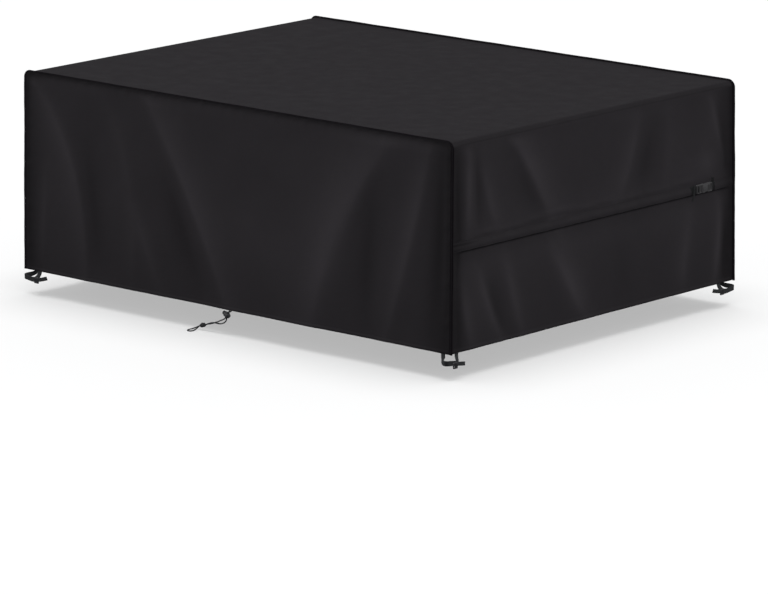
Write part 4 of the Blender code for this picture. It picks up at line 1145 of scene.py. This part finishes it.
def strand(above, below, offset):
    """A strand from the hem, through the lock, to the knot."""
    lock = lock_frame()
    in_lock = [lock @ Vector((x, offset, 0)) for x in LOCK_RUN]
    face = knot_face(-1, -offset)
    return [*above, *in_lock, *below, face - KNOT_AXIS * KNOT_LEAD, face]


def cord_route():
    """The whole cord: out of the hem, down to the knot, round the end loop, and back up into the hem."""
    down = strand(STRAND_A_ABOVE, STRAND_A_BELOW, CORD_APART)
    up = strand(STRAND_B_ABOVE, STRAND_B_BELOW, -CORD_APART)[::-1]
    start, end = knot_face(1, -CORD_APART), knot_face(1, CORD_APART)
    lead = KNOT_AXIS * KNOT_LEAD
    return [*down, (down[-1] + start) / 2, start, start + lead, *END_LOOP[::-1], end + lead, end,
            (end + up[0]) / 2, *up]


def tube(name, line, radius, material):
    """A round tube along points, with its UV along and round it."""
    sides = 14
    tangent = unit_rows(np.gradient(line, axis=0))
    normal = np.cross(tangent[0], (0.0, 0.0, 1.0))
    normals = []
    for t in tangent:
        normal = normal - t * (normal @ t)
        normal /= np.linalg.norm(normal)
        normals.append(normal)
    normals = np.array(normals)
    sideways = np.cross(tangent, normals)
    radius = np.reshape(radius, (-1, 1))
    angles = (math.tau * k / sides for k in range(sides))
    rings = [line + (normals * math.cos(angle) + sideways * math.sin(angle)) * radius for angle in angles]
    run, end = run_along(line), len(line) - 1
    faces = [[(i, k), (i, k + 1), (i + 1, k + 1), (i + 1, k)] for i in range(end) for k in range(sides)]
    faces += [[(0, k) for k in reversed(range(sides))], [(end, k) for k in range(sides)]]
    mesh = mesh_of(name, np.stack(rings, axis=1).reshape(-1, 3),
                   [[i * sides + k % sides for i, k in face] for face in faces],
                   [(run[i], k / sides) for face in faces for i, k in face])
    dress(mesh, material, 50.0)
    return link(name, mesh)


def build_drawcord(material):
    line = smooth_route(cord_route(), 0.0016)
    run = run_along(line)
    squeeze = smooth_step(np.minimum(run, run[-1] - run), 0.0, 0.006)
    radius = sizes().cord_diameter / 2 * (0.72 + 0.28 * squeeze)
    return tube("drawcord", line, radius, material), line, float(run[-1])


def knot_points(along, level, up):
    """Points in the knot's own frame: along its axis, level and up."""
    x = np.array(KNOT_AXIS)
    y = np.array((0.0, 1.0, 0.0))
    along, level, up = (part[:, None] for part in (along, level, up))
    return np.array(KNOT_CENTRE) + along * x + level * y + up * np.cross(x, y)


def build_knot(material):
    """The stopper knot: the doubled cord wound nearly four times round itself, with one part laid over."""
    turns, radius, pitch, phase = 3.8, 0.0053, 0.0052, 0.8
    t = np.linspace(0.0, 1.0, 90)
    angle = math.tau * turns * t + phase
    inward = radius * (1.0 - 0.30 * (2 * t - 1) ** 4)
    helix = knot_points((t - 0.5) * turns * pitch, inward * np.cos(angle), inward * np.sin(angle))
    wraps = tube("knot_wraps", helix, 0.00230, material)
    t = np.linspace(0.0, 1.0, 40)
    above = math.copysign(1.0, np.cross(KNOT_AXIS, (0.0, 1.0, 0.0))[2])
    bridge = knot_points((t - 0.5) * 0.0185, (t - 0.5) * 0.0075 - 0.0010,
                         (0.0030 + 0.0042 * np.sin(math.pi * t) ** 0.7) * above)
    return wraps, tube("knot_over", bridge, 0.0020, material)


def turned(name, profile, steps, flutes, depth, band):
    """A turned solid with flutes cut into a band of its wall."""
    bm = bmesh.new()
    rings = []
    for radius, height in profile:
        rings.append([])
        for k in range(steps):
            angle = math.tau * k / steps
            r = radius
            if band[0] <= height <= band[1]:
                r -= depth * (0.5 - 0.5 * math.cos(flutes * angle)) ** 2
            rings[-1].append(bm.verts.new((r * math.cos(angle), r * math.sin(angle), height)))
    for lower, upper in zip(rings, rings[1:]):
        for k in range(steps):
            m = (k + 1) % steps
            bm.faces.new((lower[k], lower[m], upper[m], upper[k]))
    return link(name, cleaned(name, bm))


def pierced(obj, low, high, place, material):
    """Cut a rounded slot through a turned piece and set it in its place."""
    bm = bmesh.new()
    bmesh.ops.create_cube(bm, size=1.0)
    size, middle = Vector(high) - Vector(low), (Vector(high) + Vector(low)) / 2
    bmesh.ops.transform(bm, matrix=Matrix.Translation(middle) @ Matrix.Diagonal((*size, 1.0)), verts=bm.verts)
    bmesh.ops.bevel(bm, geom=list(bm.edges), offset=0.0012, segments=3, profile=0.5, affect="EDGES")
    tool_mesh = bpy.data.meshes.new("slot_tool")
    bm.to_mesh(tool_mesh)
    bm.free()
    tool = link("slot_tool", tool_mesh)
    modifier = obj.modifiers.new("slot", "BOOLEAN")
    modifier.operation = "DIFFERENCE"
    modifier.object = tool
    mesh = finished_mesh(obj)
    obj.modifiers.clear()
    bpy.data.objects.remove(tool)
    mesh.transform(place)
    dress(mesh, material, 32.0)
    obj.data = mesh


# Profiles of the cord lock: radius, height along the plunger
BARREL_PROFILE = (
    (0.0, -0.0112), (0.0046, -0.0112), (0.0066, -0.0107), (0.0078, -0.0097), (0.0087, -0.0080), (0.0092, -0.0060),
    (0.0095, -0.0052), (0.0095, -0.0050), (0.0097, -0.0040), (0.0098, -0.0005), (0.0097, 0.0045), (0.0095, 0.0052),
    (0.0090, 0.0056), (0.0090, 0.0066), (0.0093, 0.0070), (0.0093, 0.0086), (0.0088, 0.0095), (0.0078, 0.0097),
    (0.0069, 0.0092), (0.0069, -0.0092), (0.0, -0.0092),
)
BUTTON_PROFILE = (
    (0.0, -0.0047), (0.0060, -0.0047), (0.0065, -0.0042), (0.0065, 0.0130), (0.0067, 0.0138), (0.0070, 0.0142),
    (0.0070, 0.0156), (0.0066, 0.0160), (0.0066, 0.0164), (0.0069, 0.0167), (0.0066, 0.0178), (0.0056, 0.0187),
    (0.0044, 0.0190), (0.0036, 0.0187), (0.0022, 0.0183), (0.0, 0.0182),
)


def build_lock(material):
    """The cord lock: a fluted barrel and the domed, ringed button of its spring-loaded plunger."""
    place = lock_frame()
    barrel = turned("cord_lock_barrel_looks", BARREL_PROFILE, 96, 16, 0.0007, (-0.0041, 0.0046))
    pierced(barrel, (-0.02, -0.0052, -0.0030), (0.02, 0.0052, 0.0030), place, material)
    button = turned("cord_lock_button_looks", BUTTON_PROFILE, 64, 20, 0.0004, (0.0141, 0.0157))
    pierced(button, (-0.02, -0.0048, -0.0024), (0.02, 0.0048, 0.0067), place, material)
    return barrel, button


# ---------------------------------------------------------------- stitches

def stitch_tree():
    """Geometry Nodes: stitches at an even pitch along seam lines."""
    tree = bpy.data.node_groups.new("seam_stitches", "GeometryNodeTree")
    for name, kind in (("Geometry", "Geometry"), ("Pitch", "Float"), ("Length", "Float"), ("Thread", "Float"),
                       ("Material", "Material")):
        tree.interface.new_socket(name, in_out="INPUT", socket_type="NodeSocket" + kind)
    tree.interface.new_socket("Geometry", in_out="OUTPUT", socket_type="NodeSocketGeometry")

    def node(kind, values=None, **settings):
        return next(s for s in add_node(tree, kind, values, **settings).outputs if s.enabled)

    given = add_node(tree, "NodeGroupInput").outputs
    curve = node("GeometryNodeMeshToCurve", {"Mesh": given["Geometry"]})
    even = node("GeometryNodeResampleCurve", {"Curve": curve, "Length": given["Pitch"]}, mode="LENGTH")
    drop = node("GeometryNodeMeshUVSphere", {"Segments": 6, "Rings": 4, "Radius": 0.5})
    turn = node("FunctionNodeAlignRotationToVector", {"Vector": node("GeometryNodeInputTangent")}, axis="X")
    uneven = node("FunctionNodeRandomValue", {"Min": 0.82, "Max": 1.12, "Seed": 7}, data_type="FLOAT")
    length = node("ShaderNodeMath", {0: given["Length"], 1: uneven}, operation="MULTIPLY")
    size = node("ShaderNodeCombineXYZ", {"X": length, "Y": given["Thread"], "Z": given["Thread"]})
    placed = node("GeometryNodeInstanceOnPoints",
                  {"Points": even, "Instance": drop, "Rotation": turn, "Scale": size})
    real = node("GeometryNodeRealizeInstances", {"Geometry": placed})
    sewn = node("GeometryNodeSetMaterial", {"Geometry": real, "Material": given["Material"]})
    add_node(tree, "NodeGroupOutput", {"Geometry": sewn})
    return tree


def build_stitches(name, lines, material):
    """Stitches along seam lines, each a row of points on the cloth."""
    points, edges = [], []
    for line in lines:
        first = len(points)
        points += line.tolist()
        edges += [(k, k + 1) for k in range(first, len(points) - 1)]
    guide = bpy.data.meshes.new(name)
    guide.from_pydata(points, edges, [])
    obj = link(name, guide)
    tree = bpy.data.node_groups.get("seam_stitches") or stitch_tree()
    modifier = obj.modifiers.new("stitches", "NODES")
    modifier.node_group = tree
    values = {"Pitch": sizes().stitch_pitch, "Length": sizes().stitch_length, "Thread": sizes().thread,
              "Material": material}
    for item in tree.interface.items_tree:
        if item.in_out == "INPUT" and item.name in values:
            modifier[item.identifier] = values[item.name]
    bpy.context.view_layer.update()
    mesh = finished_mesh(obj)
    obj.modifiers.clear()
    obj.data = mesh
    mesh.shade_smooth()
    return obj


def side_line(side, creases, seed):
    """The hem's stitch line on a long side."""
    x = np.linspace(-LENGTH / 2 + 0.006, LENGTH / 2 - 0.006, 700)
    drop = np.full(x.shape, DROP - HEM_STITCH)
    return combine(x, side * (side_face(x + LENGTH / 2, drop, creases, seed) + STITCH_PROUD), -drop)


def end_line(side, *end):
    """The hem's stitch line on a short end."""
    y = np.linspace(-WIDTH / 2 + 0.004, WIDTH / 2 - 0.004, 500)
    drop = np.full(y.shape, DROP - HEM_STITCH)
    return combine(side * (end_face(y + WIDTH / 2, drop, *end) + STITCH_PROUD), y, -drop)


def casing_lines(y_from, y_to):
    y = np.linspace(y_from, y_to, max(int((y_to - y_from) / 0.004), 4))
    return [combine(belt_face(y) + casing_out(y, up) - 0.0005, y, -BELT_DROP + up)
            for up in (-CASING_STITCH, CASING_STITCH)]


def binding_lines(side, seed):
    path = binding_path()
    return [binding_places(path, side, BINDING_STITCH_OUT, over, seed) for over in BINDING_STITCHES_OVER]


# ---------------------------------------------------------------- stage

def build_stage():
    """Floor, soft light and the camera."""
    scene = bpy.context.scene
    half = FLOOR_SIZE / 2
    corners = [(x * half, y * half, FLOOR_Z) for x, y in ((-1, -1), (1, -1), (1, 1), (-1, 1))]
    mesh = mesh_of("stage_floor", corners, [(0, 1, 2, 3)])
    floor = link("stage_floor", mesh)
    mesh.materials.append(Graph("stage_white").finish((FLOOR_WHITE,) * 3, 1.0, 0.0))
    floor.visible_diffuse = False
    floor.visible_glossy = False

    world = bpy.data.worlds.new("studio")
    world.use_nodes = True
    fill(world.node_tree, world.node_tree.nodes["Background"], {"Color": WORLD_COLOUR, "Strength": WORLD_LIGHT})
    scene.world = world

    for name, towards, strength, spread, shadows in SUNS:
        light = bpy.data.lights.new(name, "SUN")
        light.energy = strength
        light.angle = math.radians(spread)
        light.use_shadow = shadows
        link(name, light).rotation_euler = Vector(towards).to_track_quat("Z", "Y").to_euler()

    camera = bpy.data.cameras.new("camera")
    camera.lens = CAMERA_LENS
    camera.clip_end = CAMERA_REACH
    viewer = link("camera", camera)
    viewer.location = CAMERA_PLACE
    viewer.rotation_euler = (-Vector(CAMERA_LOOK)).to_track_quat("Z", "Y").to_euler()
    scene.camera = viewer
    scene.view_settings.view_transform = "Standard"


# ---------------------------------------------------------------- operators

class Step:
    """One step of the build, whose own build function does the work."""

    def execute(self, context):
        self.build()
        return {"FINISHED"}


class BuildStage(Step, bpy.types.Operator):
    """Add the floor, the light and the camera"""

    bl_idname = "cover_looks.stage"
    bl_label = "Stage"

    def build(self):
        build_stage()


class BuildDrawcord(Step, bpy.types.Operator):
    """Build the drawcord, its stopper knot and its cord lock"""

    bl_idname = "cover_looks.drawcord"
    bl_label = "Drawcord"

    def build(self):
        barrel, button = build_lock(plastic_material("lock_plastic", colours().plastic, 0.46, 0.30))
        carry(barrel, "black_plastic", "cord_lock_barrel")
        carry(button, "black_plastic", "cord_lock_button", body="lock_button")
        material = cord_material()
        wraps, over = build_knot(material)
        carry(wraps, "cord", "drawcord_knot")
        carry(over, "cord")
        cord, line, length = build_drawcord(material)
        carry(cord, "cord", "drawcord_strand_a", "drawcord_strand_b", "drawcord_loop")


class BuildCloth(Step, bpy.types.Operator):
    """Build the top with both ends, and the two long sides"""

    bl_idname = "cover_looks.cloth"
    bl_label = "Cloth"

    def build(self):
        material = cloth_material()
        carry(build_top_and_ends(material), "cloth", "top_and_ends")
        for name, side, creases, seed, fine, node in LONG_SIDES:
            carry(build_long_side(name, side, creases, seed, fine, material), "cloth", node)


class BuildBindings(Step, bpy.types.Operator):
    """Build the bound seams round both long sides"""

    bl_idname = "cover_looks.bindings"
    bl_label = "Bindings"

    def build(self):
        material = tape_material()
        for name, side, seed, node in BINDINGS:
            carry(build_binding(name, side, seed, material), "binding", node)


def casing_runs(inset, gap):
    """Where the casing starts and ends, beside the corners and the buckle's bay."""
    seam = end_half_width(BELT_DROP) - CASING_INSET - inset
    return (-seam, BUCKLE_Y - BUCKLE_BAY - gap), (BUCKLE_Y + BUCKLE_BAY + gap, seam)


class BuildBelt(Step, bpy.types.Operator):
    """Build the belt's casing, its webbing and its buckle"""

    bl_idname = "cover_looks.belt"
    bl_label = "Belt"

    def build(self):
        cloth = bpy.data.materials["oxford_cloth"]
        pieces = (("belt_casing_long", "belt_casing"), ("belt_casing_short", "belt_casing_end"))
        for (name, node), run in zip(pieces, casing_runs(0.0, 0.0)):
            carry(build_casing(name, *run, cloth), "cloth", node)
        webbing = webbing_material("belt_webbing", tuple(c * BELT_TONE for c in colours().webbing))
        nodes = (["belt"], ["belt_anchor"], [], ["belt_tail"], ["belt_folded_end"], [])
        for piece, replaced in zip(build_belt(webbing), nodes):
            carry(piece, "webbing", *replaced)
        tongue, socket = build_belt_buckle(plastic_material("buckle_plastic", colours().buckle, 0.46, 0.25))
        carry(tongue, "buckle_plastic", "belt_buckle_tongue")
        carry(socket, "buckle_plastic", "belt_buckle_socket")


class BuildStraps(Step, bpy.types.Operator):
    """Build the four corner straps, each with its buckle and tail"""

    bl_idname = "cover_looks.straps"
    bl_label = "Corner Straps"

    def build(self):
        webbing = webbing_material("strap_webbing", colours().webbing)
        plastic = plastic_material("strap_plastic", colours().plastic, 0.40, 0.35)
        for number, (corner, *_) in enumerate(CORNERS):
            strap, tail, buckle = build_corner_strap(number, webbing, plastic)
            carry(strap, "webbing", corner + "_strap")
            carry(tail, "webbing", corner + "_strap_tail")
            carry(buckle, "black_plastic", corner + "_strap_buckle")


class BuildStitches(Step, bpy.types.Operator):
    bl_idname = "cover_looks.stitches"
    bl_label = "Stitches"

    def build(self):
        lines = {name: [side_line(side, creases, seed)] for name, side, creases, seed, _, _ in LONG_SIDES}
        lines["end"] = [end_line(*end) for end in ENDS]
        lines.update((name, binding_lines(side, seed)) for name, side, seed, _ in BINDINGS)
        lines["casing"] = [line for run in casing_runs(0.003, 0.002) for line in casing_lines(*run)]
        material = thread_material()
        made = {name: build_stitches(name + "_stitches", seams, material) for name, seams in lines.items()}
        for piece in made.values():
            carry(piece, None)


OPERATORS = (BuildStage, BuildDrawcord, BuildCloth, BuildBindings, BuildBelt, BuildStraps, BuildStitches)


class CoverPanel(bpy.types.Panel):
    """Sizes, colours and the steps that build the cover's looks"""

    bl_idname = "VIEW3D_PT_patio_cover"
    bl_label = "Patio Cover"
    bl_space_type = "VIEW_3D"
    bl_region_type = "UI"
    bl_category = "Patio Cover"

    def draw(self, context):
        column = self.layout.column()
        for settings in (context.scene.cover_sizes, context.scene.cover_colours):
            for name in settings.__annotations__:
                column.prop(settings, name)
        for operator in OPERATORS:
            column.operator(operator.bl_idname)


CLASSES = (CoverSizes, CoverColours, *OPERATORS, CoverPanel)


def register():
    for cls in CLASSES:
        bpy.utils.register_class(cls)
    bpy.types.Scene.cover_sizes = PointerProperty(type=CoverSizes)
    bpy.types.Scene.cover_colours = PointerProperty(type=CoverColours)


def unregister():
    del bpy.types.Scene.cover_colours
    del bpy.types.Scene.cover_sizes
    for cls in reversed(CLASSES):
        bpy.utils.unregister_class(cls)


def main():
    register()
    for operator in OPERATORS:
        family, name = operator.bl_idname.split(".")
        getattr(getattr(bpy.ops, family), name)()


if __name__ == "__main__":
    main()
